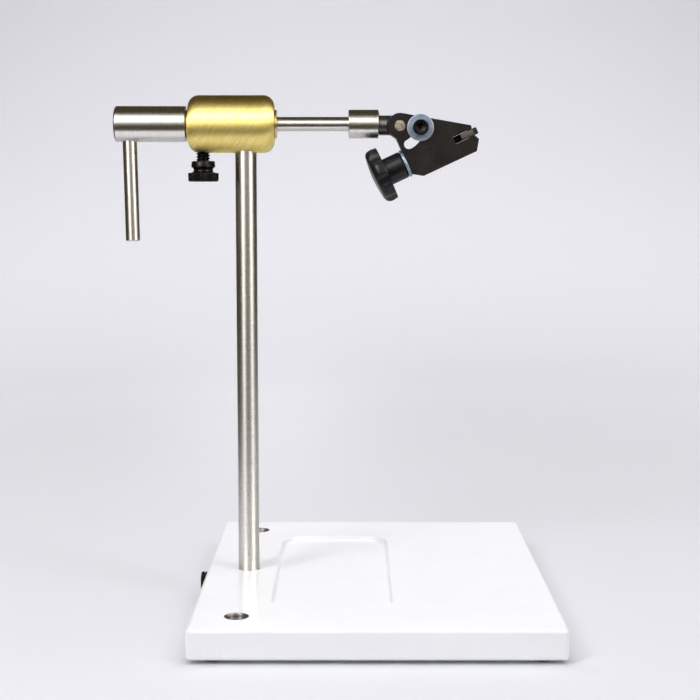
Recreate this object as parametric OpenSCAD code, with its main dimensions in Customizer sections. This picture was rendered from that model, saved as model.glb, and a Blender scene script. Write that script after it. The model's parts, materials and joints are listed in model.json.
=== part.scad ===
// Rotary fly tying vise on a pedestal base
//
// Millimetres, +Z up. The origin is the bottom centre of the whole part's box, on the table plane.
// The rotary axis runs along X: the crank is at -X and the jaws are at +X. The front faces -Y.
// The modules measure from the stem's centre line, and placed() moves them to that origin.

/* [Base plate] */
// Width of the base plate, along the rotary axis
base_w = 152.4; // [120:0.1:220]
// Depth of the base plate, front to back
base_d = 190.5; // [150:0.1:260]
// Thickness of the base plate
base_t = 12.7; // [11:0.1:20]
// Distance from the plate's left edge to the stem's centre line
stem_inset = 19.05; // [16:0.05:30]
// Corner radius of the plate, seen from above
base_corner_r = 2.4; // [1.7:0.1:6]
// Radius that rounds the plate's top and bottom edges
base_edge_r = 1.6; // [0.5:0.1:2.2]

/* [Accessory holes] */
// Diameter of each accessory hole
accessory_d = 9.6; // [5:0.1:13]
// Distance from the front or rear edge to the hole's centre
accessory_inset = 19.05; // [12:0.05:30]
// Width of the chamfer at both ends of the hole
accessory_chamfer = 0.5; // [0.2:0.1:1]

/* [Tray recess] */
// Width of the recess
tray_w = 50.8; // [30:0.1:60]
// Length of the recess, front to back
tray_d = 127; // [90:0.5:140]
// Depth of the recess
tray_depth = 2.5; // [1.5:0.1:4]
// Radius of the recess's corners, seen from above
tray_corner_r = 12.7; // [6:0.1:14]
// Distance from the stem's centre line to the recess's left wall
tray_offset = 13.2; // [10:0.1:20]

/* [Feet] */
// Diameter of each rubber foot
foot_d = 12.7; // [8:0.1:16]
// Thickness of each foot
foot_t = 1.6; // [1:0.1:3]
// Distance from the plate's edges to the foot's rim
foot_inset = 4; // [2.5:0.1:10]
// Width of the chamfer round the foot's lower rim
foot_chamfer = 0.4; // [0.2:0.1:0.8]

/* [Stem] */
// Diameter of the stem
stem_d = 9.525; // [8:0.005:10]
// Height of the rotary axis above the plate's top face
axis_rise = 201.6; // [120:0.1:240]
// Depth of the stem's socket in the plate
socket_depth = 11.1; // [9:0.1:11.5]
// Depth of the stem's seat in the hub
stem_seat = 6; // [4.5:0.1:6.5]
// Width of the chamfer at the stem's lower end
stem_chamfer = 0.6; // [0.2:0.1:1]

/* [Hub] */
// Diameter of the brass hub
hub_d = 25.4; // [24.5:0.1:32]
// Length of the hub to the left of the stem's centre line
hub_left = 25.4; // [25.4:0.1:32]
// Length of the hub to the right of the stem's centre line
hub_right = 12.7; // [12:0.1:20]
// Radius that rounds the hub's ends
hub_round_r = 4.8; // [2:0.1:5.5]
// Diameter of the clearance bore between the bushings
hub_bore_d = 8; // [7.6:0.1:8.6]

/* [Bushings] */
// Outside diameter of the bushings
bushing_d = 9.525; // [9:0.005:11]
// Diameter of the bushings' flanges
flange_d = 12.5; // [11.5:0.1:14]
// Thickness of the right flange
right_flange_t = 1.1; // [0.8:0.1:2]
// Thickness of the left flange
left_flange_t = 0.8; // [0.6:0.1:1.5]
// Length of the right bushing inside the hub
right_bushing_len = 7.9; // [5:0.1:9]
// Length of the left bushing inside the hub
left_bushing_len = 2.9; // [2:0.1:3]

/* [Spindle and crank] */
// Diameter of the spindle
spindle_d = 6.35; // [5.6:0.05:6.6]
// Diameter of the crank's cylinder
crank_d = 15.9; // [14:0.1:20]
// Length of the crank's cylinder
crank_len = 31.6; // [29:0.1:40]
// Radius that breaks the cylinder's left edge
crank_edge_r = 1.2; // [0.4:0.1:2]
// Depth of the spindle's seat in the cylinder
crank_seat = 17.5; // [12:0.1:19]
// Diameter of the handle rod
handle_d = 6.35; // [5:0.05:6.6]
// Distance from the rotary axis to the rod's lower end
handle_reach = 51.8; // [35:0.1:70]
// Distance from the cylinder's left end to the rod's centre line
handle_inset = 6.2; // [5.5:0.1:7]
// Lean of the rod towards the hub, in degrees
handle_lean = 1.0; // [0:0.1:2]
// Width of the chamfer at the rod's lower end
handle_chamfer = 0.5; // [0.2:0.1:1]

/* [Collar] */
// Diameter of the collar
collar_d = 12.75; // [11.5:0.05:14]
// Length of the collar's cylinder
collar_len = 12.9; // [11:0.1:18]
// Distance from the hub's right end to the collar
collar_gap = 32.9; // [20:0.1:45]
// Height of the domed right end of the collar
collar_dome = 0.8; // [0.4:0.1:1.5]
// Depth of the spindle's seat in the collar
collar_seat = 6.4; // [5:0.1:7]

/* [Thumb screws] */
// Thread diameter of the tension screw
tension_thread_d = 6.2; // [5:0.05:6.3]
// Pitch of the tension screw's thread
tension_pitch = 1.27; // [1:0.01:1.5]
// Distance from the stem's centre line to the tension screw
tension_offset = 19.05; // [18:0.05:19.1]
// Length of bare thread between the hub and the screw's shoulder
tension_gap = 3.6; // [2:0.1:6]
// Diameter of the screw's shoulder
shoulder_d = 10.7; // [8:0.1:12]
// Length of the shoulder
shoulder_len = 3.7; // [2:0.1:5]
// Diameter of the waist between shoulder and head
waist_d = 8.7; // [7:0.1:10]
// Length of the waist
waist_len = 1.5; // [1:0.1:3]
// Diameter of the knurled head
thumb_head_d = 13.7; // [11:0.1:18]
// Thickness of the knurled head
thumb_head_len = 3.9; // [3:0.1:6]
// Diameter of the nylon tip in the tension screw's end
tension_tip_d = 4; // [3:0.1:4.4]
// Length of the nylon tip
tension_tip_len = 2.4; // [1.5:0.1:3]
// Thread diameter of the base screw
base_thread_d = 4.8; // [4:0.05:6]
// Diameter of the base screw's low head
base_head_d = 9.5; // [8:0.1:11]
// Width of the head's outer rim
base_rim_len = 1.3; // [1:0.1:2]
// Width of the groove between the head's two rims
base_groove_len = 0.6; // [0.4:0.1:1]
// Width of the head's inner rim
base_collar_len = 0.85; // [0.5:0.05:2]

/* [Tongue] */
// Diameter of the tongue's round shank
shank_d = 8.75; // [8:0.05:10]
// How far the shank's centre line lies below the rotary axis
shank_drop = 0.57; // [0:0.01:1]
// Thickness of the tongue's blade
blade_t = 4; // [3:0.1:5]
// Half height of the blade at the tilt screw
blade_end_r = 3.4; // [3:0.1:3.8]
// Diameter of the pivot pin
pivot_d = 4.76; // [4:0.02:5]
// Distance from the collar's end to the pivot
pivot_reach = 9; // [8.8:0.1:14]
// How far the pivot lies below the rotary axis
pivot_drop = 0.85; // [0:0.05:2]

/* [Head] */
// Tilt of the head at rest, jaws up, in degrees
head_angle = 25; // [20:0.5:30]
// Thickness of the head across both cheeks
head_t = 10; // [9:0.1:13]
// Radius of the head's round end about the pivot
head_round_r = 5.6; // [5.2:0.1:6.5]
// Distance from the pivot to the head's flat back face
head_back = 3.9; // [3:0.1:5]
// Distance from the pivot down to the head's bottom edge
head_depth = 24.45; // [24:0.05:28]
// Length of the bevel at the head's lower back corner, along the bottom edge
heel_run = 4.3; // [2:0.1:6]
// Height of the same bevel, along the back face
heel_rise = 2.9; // [1:0.1:4]
// Distance from the pivot to the mouth of the front slot
jaw_reach = 28.2; // [28:0.1:34]
// Distance from the pivot down to the top edge's front corner
brow_drop = 13; // [12:0.1:13.5]
// How far the lower jaw's point stands out past the mouth
beak_run = 1; // [0.4:0.1:2]
// Distance from the slot down to the lower jaw's point
beak_drop = 2.2; // [1.5:0.1:3]
// Length of the bevel under the lower jaw's point
chin_run = 3.1; // [2:0.1:4]
// Half width of the slit between the jaws' inner faces
slit_half = 0.4; // [0.2:0.05:0.6]
// Length of that slit, back from the mouth
slit_len = 10; // [6:0.1:12]

/* [Tilt slot] */
// Distance from the pivot to the middle of the arc slot
arc_r = 9; // [8.8:0.1:9.6]
// Width of the arc slot
arc_w = 4.2; // [4.2:0.05:4.6]
// Direction of the tilt screw from the pivot at rest, below the jaw line, in degrees
arc_rest = 30.2; // [28:0.1:32]
// How far the slot runs above the screw, in degrees
arc_above = 9.5; // [6:0.5:10]
// How far the slot runs below the screw, in degrees
arc_below = 59.3; // [40:0.1:62]
// Diameter of the tilt screw's thread
tilt_screw_d = 4.1; // [3.5:0.05:4.1]
// Diameter of the tilt screw's head
tilt_head_d = 6.86; // [6:0.02:7.5]
// Height of the tilt screw's head
tilt_head_h = 4.1; // [3:0.1:5]
// Width of the hex socket, across its flats
tilt_hex_af = 3.57; // [2.5:0.01:4]
// Depth of the hex socket
tilt_hex_depth = 2.2; // [1.5:0.1:2.6]
// Diameter of the tilt washer
tilt_washer_d = 11.8; // [9:0.1:13]
// Thickness of the tilt washer
tilt_washer_t = 1.2; // [0.8:0.1:1.6]

/* [Jaw fork] */
// Distance from the pivot down to the draw rod
rod_drop = 16.1; // [15.9:0.1:16.5]
// Diameter of the draw rod
rod_d = 3.15; // [2.6:0.05:3.2]
// Diameter of the rod's front end, fixed in the fork
rod_tip_d = 1.8; // [1.4:0.1:2]
// Height of the front slot
slot_h = 3.3; // [3:0.1:3.4]
// Distance from the pivot to the back of the front slot
slot_back = 18.9; // [16:0.1:19.5]
// Distance from the pivot to the fork's back face
fork_back = 22.35; // [21.5:0.05:22.6]
// Length of the fork from its back face to its nose
fork_len = 7.75; // [7:0.05:12]
// Thickness of the bridge that joins the fork's two arms
bridge_t = 2.25; // [2:0.05:2.5]
// Thickness of each arm, across the head
arm_t = 1.45; // [1:0.05:1.8]
// Width of the bevel along the arms' outer edges
arm_bevel = 0.45; // [0.2:0.05:0.6]
// Thickness of the lips that close over the jaws
nose_lip_t = 0.9; // [0.6:0.1:1.5]
// How far each lip reaches in past the arm
nose_lip_run = 1.45; // [0.8:0.05:1.8]
// Travel left before the lips meet the jaws
lip_play = 0.5; // [0.4:0.1:0.8]

/* [Jaw knob] */
// Diameter of the washer under the knob
knob_washer_d = 12.6; // [11:0.1:14]
// Thickness of the washer under the knob
knob_washer_t = 1.3; // [0.8:0.1:2]
// Diameter of the knob's neck
neck_d = 12.2; // [10:0.1:14]
// Length of the knob's neck
neck_len = 8.4; // [6:0.1:12]
// Width of the chamfer round the neck's front rim
neck_edge = 0.6; // [0.2:0.1:1]
// Diameter of the knob's head at its widest
knob_d = 25; // [20:0.1:30]
// Diameter of the head at its inner face
knob_face_d = 24.4; // [18:0.1:28]
// Height of the widest place above the inner face
knob_wide_h = 2.9; // [2:0.1:5]
// Radius that rounds the head's outer rim
knob_rim_r = 3.2; // [1:0.1:4]
// Height of the dome above the rounded rim
knob_dome_h = 0.85; // [0.4:0.05:2]
// Number of finger flutes round the head
flute_count = 7; // [5:1:9]
// Radius of each finger flute
flute_r = 6; // [4:0.1:9]
// Depth of each finger flute
flute_depth = 1.15; // [0.5:0.05:2]
// Diameter of the threaded insert in the knob
insert_d = 7.1; // [6:0.1:8]

/* [Hidden] */
$fn = 96;

// A cut runs past its faces by this much
over = 1;
// Radial clearance of a turning fit, and of a part that is pressed or screwed in
run_gap = 0.05;
seat_gap = 0.01;
// Gap where two curved or sliding faces on different bodies stay apart
free_gap = 0.3;
slide_gap = 0.1;

// Heights
base_bottom = foot_t;
base_top = foot_t + base_t;
base_mid = foot_t + base_t / 2;
axis_z = base_top + axis_rise;
hub_bottom = axis_z - hub_d / 2;

// Places along the rotary axis
base_x = base_w / 2 - stem_inset;
crank_right = -hub_left - left_flange_t - slide_gap;
crank_left = crank_right - crank_len;
collar_left = hub_right + collar_gap;
collar_right = collar_left + collar_len;
spindle_left = crank_right - crank_seat;
spindle_right = collar_left + collar_seat;
pivot_x = collar_right + collar_dome + pivot_reach;
pivot_z = axis_z - pivot_drop;

// The origin lies this far to the right of the stem's centre line
origin_x = (crank_left + base_w - stem_inset) / 2;

// Set screws: one size holds stem, crank and collar
set_screw_d = 4.1;
set_screw_hex_af = 1.98;
set_screw_hex_depth = 1.4;
set_screw_sink = 0.3;
stem_screw_z = hub_bottom + stem_seat / 2;
crank_screw_x = crank_right - crank_seat / 3;
collar_screw_x = collar_left + collar_seat / 2;

// Spindle groove that the nylon tip runs in, which keeps the spindle from sliding out
groove_w = tension_tip_d + 2 * slide_gap + 4 * free_gap;
groove_depth = 0.4;

// Thread ridges on the bare stretch of the tension screw
ridge_depth = 0.6;
ridge_count = floor(tension_gap / tension_pitch);

// Blade and cheeks
cheek_gap_half = blade_t / 2 + run_gap;
pocket_r = arc_r + blade_end_r + 2 * free_gap;
shoulder_r = head_round_r + free_gap;
blade_half_h = shank_d / 2;

// Front slot: a window through each cheek, then a groove in its outer face
arm_inner = head_t / 2 - slide_gap - arm_t;
web_outer = arm_inner - run_gap;
fork_front = fork_back + fork_len;
fork_open = 1.6;
window_front = fork_back + bridge_t + fork_open + slide_gap;
web_bevel = 1;
web_bevel_sum = jaw_reach + web_outer - web_bevel;
lip_inner = arm_inner - nose_lip_run;
arm_half_h = slot_h / 2 - slide_gap;

// Top edge of the head: from the front corner, tangent to the round end
brow_reach_share = 1.007;
brow_u = jaw_reach * brow_reach_share;
brow_angle = atan2(-brow_drop, brow_u) + acos(head_round_r / norm([brow_u, brow_drop]));

// Dowels and screws that join the cheeks, as [along, down] from the pivot in head lengths and depths
dowel_shares = [[0.04, 0.86], [0.72, 0.86]];
screw_shares = [[0.30, 0.86], [0.62, 0.47]];
dowel_d = 2.4;
dowel_len = 6;
cheek_screw_d = 2.8;
cheek_screw_head_d = 4.6;
cheek_screw_head_h = 2.4;
cheek_screw_hex_af = 2.4;
cheek_screw_len = 8.6;
cheek_screw_sink = 0.2;

// Knob along the draw rod, measured back from the head's end face
knob_face_u = -head_back - knob_washer_t - slide_gap;
knob_len = neck_len + knob_wide_h + knob_rim_r + knob_dome_h;
insert_len = neck_len;
rod_end_u = knob_face_u - insert_len - slide_gap;
rod_clear = 4;
dome_half_w = knob_d / 2 - knob_rim_r;
dome_r = (pow(dome_half_w, 2) + pow(knob_dome_h, 2)) / (2 * knob_dome_h);

// Moves a piece from the stem's centre line to the part's origin
module placed() translate([-origin_x, 0, 0]) children();

// Turns a shape that stands on +Z to point along +X or +Y
module to_x() rotate([0, 90, 0]) children();
module to_y() rotate([-90, 0, 0]) children();

// Moves children to the rotary axis, with local Z running along +X from place x
module on_axis(x) translate([x, 0, axis_z]) to_x() children();

// The head's own frame: local X along the jaws, local Z square to them, origin at the pivot
module head_frame() translate([pivot_x, 0, pivot_z]) rotate([0, -head_angle, 0]) children();

// Extrudes an outline drawn in X and Z from y_low to y_high
module slab(y_low, y_high) {
    translate([0, y_high, 0]) rotate([90, 0, 0]) linear_extrude(y_high - y_low) children();
}

// A round bar or hole across the head, at (u, v) in its frame
module cross_bar(u, v, r, y_low, y_high) {
    translate([u, y_low, v]) to_y() cylinder(r = r, h = y_high - y_low);
}

module rounded_rect(w, d, r) {
    square([w - 2 * r, d], center = true);
    square([w, d - 2 * r], center = true);
    for (sx = [-1, 1], sy = [-1, 1])
        translate([sx * (w / 2 - r), sy * (d / 2 - r)]) circle(r);
}

// A box with rounded corners and edges, centred in X and Y and standing on Z = 0
module rounded_slab(w, d, t, corner_r, edge_r) {
    intersection() {
        linear_extrude(t) rounded_rect(w, d, corner_r);
        translate([0, 0, t / 2]) slab(-d / 2, d / 2) rounded_rect(w, t, edge_r);
        translate([-w / 2, 0, t / 2]) rotate([90, 0, 90]) linear_extrude(w) rounded_rect(d, t, edge_r);
    }
}

// A cylinder of radius r and height h with a chamfer c at its lower and upper ends
module chamfered(r, h, low = 0, high = 0) {
    rotate_extrude() polygon([[0, 0], [r - low, 0], [r, low], [r, h - high], [r - high, h], [0, h]]);
}

module hex_socket(af, depth) {
    translate([0, 0, -depth]) cylinder(d = af / cos(30), h = depth + over, $fn = 6);
}

// A headless screw from Z = 0 up to its socket end
module set_screw(len) {
    difference() {
        chamfered(set_screw_d / 2, len, set_screw_sink, set_screw_sink);
        translate([0, 0, len]) hex_socket(set_screw_hex_af, set_screw_hex_depth);
    }
}

module base_plate() {
    color("white") difference() {
        translate([base_x, 0, base_bottom])
            rounded_slab(base_w, base_d, base_t, base_corner_r, base_edge_r);
        translate([tray_offset + tray_w / 2, 0, base_top - tray_depth])
            linear_extrude(tray_depth + over) rounded_rect(tray_w, tray_d, tray_corner_r);
        for (side = [-1, 1])
            translate([0, side * (base_d / 2 - accessory_inset), base_bottom]) accessory_hole();
        translate([0, 0, base_top - socket_depth])
            cylinder(d = stem_d + 2 * run_gap, h = socket_depth + over);
        translate([-stem_inset - over, 0, base_mid]) to_x()
            cylinder(d = base_thread_d + 2 * run_gap, h = stem_inset + over);
    }
}

module accessory_hole() {
    r = accessory_d / 2;
    translate([0, 0, -over]) cylinder(r = r, h = base_t + 2 * over);
    for (end = [0, 1]) translate([0, 0, end * base_t]) mirror([0, 0, end])
        translate([0, 0, -over])
            cylinder(r1 = r + accessory_chamfer + over, r2 = r, h = accessory_chamfer + over);
}

module rubber_feet() {
    reach_x = base_w / 2 - foot_inset - foot_d / 2;
    reach_y = base_d / 2 - foot_inset - foot_d / 2;
    color("#202020") for (sx = [-1, 1], sy = [-1, 1])
        translate([base_x + sx * reach_x, sy * reach_y, 0]) chamfered(foot_d / 2, foot_t, foot_chamfer, 0);
}

module base_thumb_screw() {
    tip = stem_d / 2 + free_gap;
    head_r = base_head_d / 2;
    head_len = base_collar_len + base_groove_len + base_rim_len;
    color("#1d1a18") translate([-tip, 0, base_mid]) rotate([0, -90, 0]) {
        chamfered(base_thread_d / 2, stem_inset - tip + slide_gap + over, base_edge_r / 2, 0);
        translate([0, 0, stem_inset - tip + slide_gap]) difference() {
            chamfered(head_r, head_len, base_groove_len / 2, base_groove_len);
            translate([0, 0, base_collar_len]) difference() {
                cylinder(r = head_r + over, h = base_groove_len);
                cylinder(r = head_r - base_groove_len, h = base_groove_len);
            }
        }
    }
}

module stem() {
    foot = base_top - socket_depth;
    color("#b0aca6") translate([0, 0, foot])
        chamfered(stem_d / 2, hub_bottom + stem_seat - foot, stem_chamfer, stem_chamfer);
}

// Half section of the hub about the rotary axis, drawn upright: X is the radius
module hub_section() {
    hub_len = hub_left + hub_right;
    r = hub_d / 2;
    square([r - hub_round_r, hub_len]);
    translate([0, hub_round_r]) square([r, hub_len - 2 * hub_round_r]);
    for (end = [hub_round_r, hub_len - hub_round_r]) translate([r - hub_round_r, end]) circle(hub_round_r);
}

module hub() {
    color("#c9a94e") difference() {
        on_axis(-hub_left) rotate_extrude() intersection() {
            hub_section();
            square([hub_d, hub_left + hub_right]);
        }
        on_axis(-hub_left - over) cylinder(d = hub_bore_d, h = hub_left + hub_right + 2 * over);
        on_axis(-hub_left - over) cylinder(d = bushing_d, h = left_bushing_len + over);
        on_axis(hub_right - right_bushing_len) cylinder(d = bushing_d, h = right_bushing_len + over);
        translate([0, 0, hub_bottom - over]) cylinder(d = stem_d + 2 * seat_gap, h = stem_seat + over);
        translate([-tension_offset, 0, hub_bottom - over])
            cylinder(d = tension_thread_d + 2 * run_gap, h = hub_d / 2 + over);
        translate([0, 0, stem_screw_z]) to_y() cylinder(d = set_screw_d, h = hub_d);
    }
}

module bushing(len, flange_t) {
    difference() {
        union() {
            translate([0, 0, -len]) cylinder(r = bushing_d / 2 - seat_gap, h = len);
            chamfered(flange_d / 2, flange_t, 0, slide_gap);
        }
        translate([0, 0, -len - over]) cylinder(d = spindle_d + 2 * run_gap, h = len + flange_t + 2 * over);
    }
}

module right_bushing() color("#c8b27a") on_axis(hub_right) bushing(right_bushing_len, right_flange_t);

module left_bushing() {
    color("#c8b27a") on_axis(-hub_left) mirror([0, 0, 1]) bushing(left_bushing_len, left_flange_t);
}

module stem_set_screw() {
    inner = stem_d / 2 + seat_gap;
    outer = sqrt(pow(hub_d / 2, 2) - pow(axis_z - stem_screw_z, 2)) - set_screw_sink;
    color("#2a2827") translate([0, inner, stem_screw_z]) to_y() set_screw(outer - inner);
}

module tension_screw() {
    core_r = tension_thread_d / 2 - ridge_depth;
    tip = spindle_d / 2 - groove_depth + free_gap + tension_tip_len / 2;
    color("#1d1a18") translate([-tension_offset, 0, axis_z - tip]) mirror([0, 0, 1]) {
        bare = hub_d / 2 - tip;
        difference() {
            union() {
                chamfered(tension_thread_d / 2, bare, ridge_depth, 0);
                cylinder(r = core_r, h = bare + tension_gap + over);
                for (i = [0 : ridge_count - 1]) translate([0, 0, bare + i * tension_pitch]) thread_ridge();
            }
            translate([0, 0, -over]) cylinder(r = tension_tip_d / 2, h = tension_tip_len / 2 + over);
        }
        translate([0, 0, bare + tension_gap]) {
            chamfered(shoulder_d / 2, shoulder_len, ridge_depth / 2, ridge_depth);
            cylinder(d = waist_d, h = shoulder_len + waist_len + over);
            translate([0, 0, shoulder_len + waist_len])
                chamfered(thumb_head_d / 2, thumb_head_len, ridge_depth / 2, ridge_depth / 2);
        }
    }
}

// One turn of thread as a ring with sloping flanks
module thread_ridge() {
    r = tension_thread_d / 2;
    crest = tension_pitch / 4;
    flank = (tension_pitch - crest) / 2;
    rotate_extrude() polygon([[0, 0], [r - ridge_depth, 0], [r, flank], [r, flank + crest],
        [r - ridge_depth, tension_pitch], [0, tension_pitch]]);
}

module tension_tip() {
    top = spindle_d / 2 - groove_depth + free_gap;
    color("#f2efe6") translate([-tension_offset, 0, axis_z - top - tension_tip_len])
        chamfered(tension_tip_d / 2 - seat_gap, tension_tip_len, 0, run_gap);
}

module spindle() {
    color("#b8b4ae") difference() {
        on_axis(spindle_left)
            chamfered(spindle_d / 2, spindle_right - spindle_left, set_screw_sink, set_screw_sink);
        on_axis(-tension_offset - groove_w / 2) difference() {
            cylinder(d = spindle_d + over, h = groove_w);
            cylinder(r = spindle_d / 2 - groove_depth, h = groove_w);
        }
    }
}

module crank_cylinder() {
    r = crank_d / 2;
    color("#b0aca6") difference() {
        on_axis(crank_left) rotate_extrude() intersection() {
            union() {
                square([r - crank_edge_r, crank_len]);
                translate([0, crank_edge_r]) square([r, crank_len - crank_edge_r]);
                translate([r - crank_edge_r, crank_edge_r]) circle(crank_edge_r);
            }
            square([r, crank_len]);
        }
        on_axis(crank_right - crank_seat) cylinder(d = spindle_d + 2 * seat_gap, h = crank_seat + over);
        handle_place() translate([0, 0, -over]) cylinder(d = handle_d + 2 * seat_gap, h = crank_d + over);
        translate([crank_screw_x, 0, axis_z]) to_y() cylinder(d = set_screw_d + 2 * seat_gap, h = crank_d);
    }
}

// The handle's line, leaning from the crank's cylinder down towards the hub side
module handle_place() {
    translate([crank_left + handle_inset, 0, axis_z]) rotate([0, 180 - handle_lean, 0]) children();
}

module crank_handle() {
    color("#b8b4ae") handle_place() chamfered(handle_d / 2, handle_reach, handle_chamfer, handle_chamfer);
}

module crank_set_screw() {
    inner = spindle_d / 2 + seat_gap;
    color("#2a2827") translate([crank_screw_x, inner, axis_z]) to_y()
        set_screw(crank_d / 2 - set_screw_sink - inner);
}

module collar() {
    r = collar_d / 2;
    dome_ball_r = (pow(r, 2) + pow(collar_dome, 2)) / (2 * collar_dome);
    color("#bdb9b4") difference() {
        on_axis(collar_left) intersection() {
            chamfered(r, collar_len + collar_dome, set_screw_sink, 0);
            translate([0, 0, collar_len + collar_dome - dome_ball_r]) sphere(dome_ball_r);
        }
        on_axis(collar_left - over) cylinder(d = spindle_d + 2 * seat_gap, h = collar_seat + over);
        on_axis(spindle_right - over) translate([shank_drop, 0, 0])
            cylinder(d = spindle_d - shank_drop, h = collar_len + over);
        translate([collar_screw_x, 0, axis_z]) to_y()
            cylinder(d = set_screw_d + 2 * seat_gap, h = collar_d);
    }
}

module collar_set_screw() {
    inner = spindle_d / 2 + seat_gap;
    color("#2a2827") translate([collar_screw_x, inner, axis_z]) to_y()
        set_screw(collar_d / 2 - set_screw_sink - inner);
}

// Where the tilt screw stands, from the pivot, in the vise's own axes
function tilt_place() = arc_r * [cos(head_angle - arc_rest), sin(head_angle - arc_rest)];

module tongue() {
    start = collar_right + collar_dome + slide_gap / 2;
    shank_z = axis_z - shank_drop;
    at = tilt_place();
    color("#2d2827") difference() {
        union() {
            difference() {
                translate([start, 0, shank_z]) to_x() cylinder(d = shank_d, h = pivot_x - start);
                for (side = [-1, 1]) translate([pivot_x, side * cheek_gap_half, pivot_z])
                    rotate([-90 * side, 0, 0]) cylinder(r = shoulder_r, h = head_t);
                for (side = [0, 1]) mirror([0, side, 0])
                    translate([pivot_x - shoulder_r / 2, blade_t / 2, shank_z - shank_d])
                        cube([shoulder_r, shank_d, 2 * shank_d]);
            }
            translate([spindle_right + slide_gap, 0, shank_z]) to_x()
                cylinder(r = spindle_d / 2 - shank_drop / 2 - seat_gap, h = start - spindle_right);
            slab(-blade_t / 2, blade_t / 2) {
                translate([pivot_x, pivot_z]) {
                    circle(blade_half_h);
                    translate(at) circle(blade_end_r);
                    polygon([blade_corner(at, blade_half_h, 0, 1), blade_corner(at, blade_end_r, 1, 1),
                        blade_corner(at, blade_end_r, 1, -1), blade_corner(at, blade_half_h, 0, -1)]);
                }
                translate([pivot_x - pivot_reach / 2, shank_z - blade_half_h])
                    square([pivot_reach / 2, 2 * blade_half_h]);
            }
        }
        translate([pivot_x, -head_t / 2, pivot_z]) to_y() cylinder(d = pivot_d + 2 * seat_gap, h = head_t);
        translate([pivot_x + at.x, -head_t / 2, pivot_z + at.y]) to_y()
            cylinder(d = tilt_screw_d + 2 * run_gap, h = head_t);
    }
}

// A corner of the tapering blade, where its edge touches the round at the pivot (far = 0) or at the
// tilt screw (far = 1)
function blade_corner(at, r, far, side) =
    let (line = atan2(at.y, at.x), taper = acos((blade_half_h - blade_end_r) / arc_r))
    far * at + r * [cos(line + side * taper), sin(line + side * taper)];

module pivot_pin() {
    half = head_t / 2 + run_gap;
    color("#948676") translate([pivot_x, -half, pivot_z]) to_y()
        chamfered(pivot_d / 2, 2 * half, slide_gap, slide_gap);
}

module tilt_washer() {
    at = tilt_place();
    place = [pivot_x + at.x, -head_t / 2 - tilt_washer_t, pivot_z + at.y];
    color("#c5d0dc") translate(place) to_y() difference() {
        chamfered(tilt_washer_d / 2, tilt_washer_t, slide_gap, slide_gap);
        translate([0, 0, -over]) cylinder(d = tilt_screw_d + 2 * run_gap, h = tilt_washer_t + 2 * over);
    }
}

module tilt_screw() {
    at = tilt_place();
    seat = head_t / 2 + tilt_washer_t;
    color("#1a1718") translate([pivot_x + at.x, -seat, pivot_z + at.y]) {
        to_y() chamfered(tilt_screw_d / 2, seat + head_t / 2 - free_gap, 0, free_gap);
        rotate([90, 0, 0]) difference() {
            chamfered(tilt_head_d / 2, tilt_head_h, 0, free_gap);
            translate([0, 0, tilt_head_h]) hex_socket(tilt_hex_af, tilt_hex_depth);
        }
    }
}

// Outline of both cheeks in the head's frame
module cheek_outline() {
    slot_low = rod_drop + slot_h / 2;
    beak_u = jaw_reach + beak_run;
    circle(head_round_r);
    polygon([
        [0, 0],
        [-head_back, 0],
        [-head_back, -head_depth + heel_rise],
        [heel_run - head_back, -head_depth],
        [beak_u - chin_run, -head_depth],
        [beak_u, -slot_low - beak_drop],
        [jaw_reach, -slot_low],
        [jaw_reach, -rod_drop + slot_h / 2],
        [brow_u, -brow_drop],
        head_round_r * [cos(brow_angle), sin(brow_angle)]
    ]);
}

// The arc slot, concentric with the pivot
module arc_slot() {
    top = arc_above - arc_rest;
    low = -arc_rest - arc_below;
    far = 2 * (arc_r + arc_w);
    intersection() {
        difference() {
            circle(arc_r + arc_w / 2);
            circle(arc_r - arc_w / 2);
        }
        polygon([[0, 0], for (a = [top, (top + low) / 2, low]) far * [cos(a), sin(a)]]);
    }
    for (a = [top, low]) translate(arc_r * [cos(a), sin(a)]) circle(arc_w / 2 - seat_gap);
}

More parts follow.
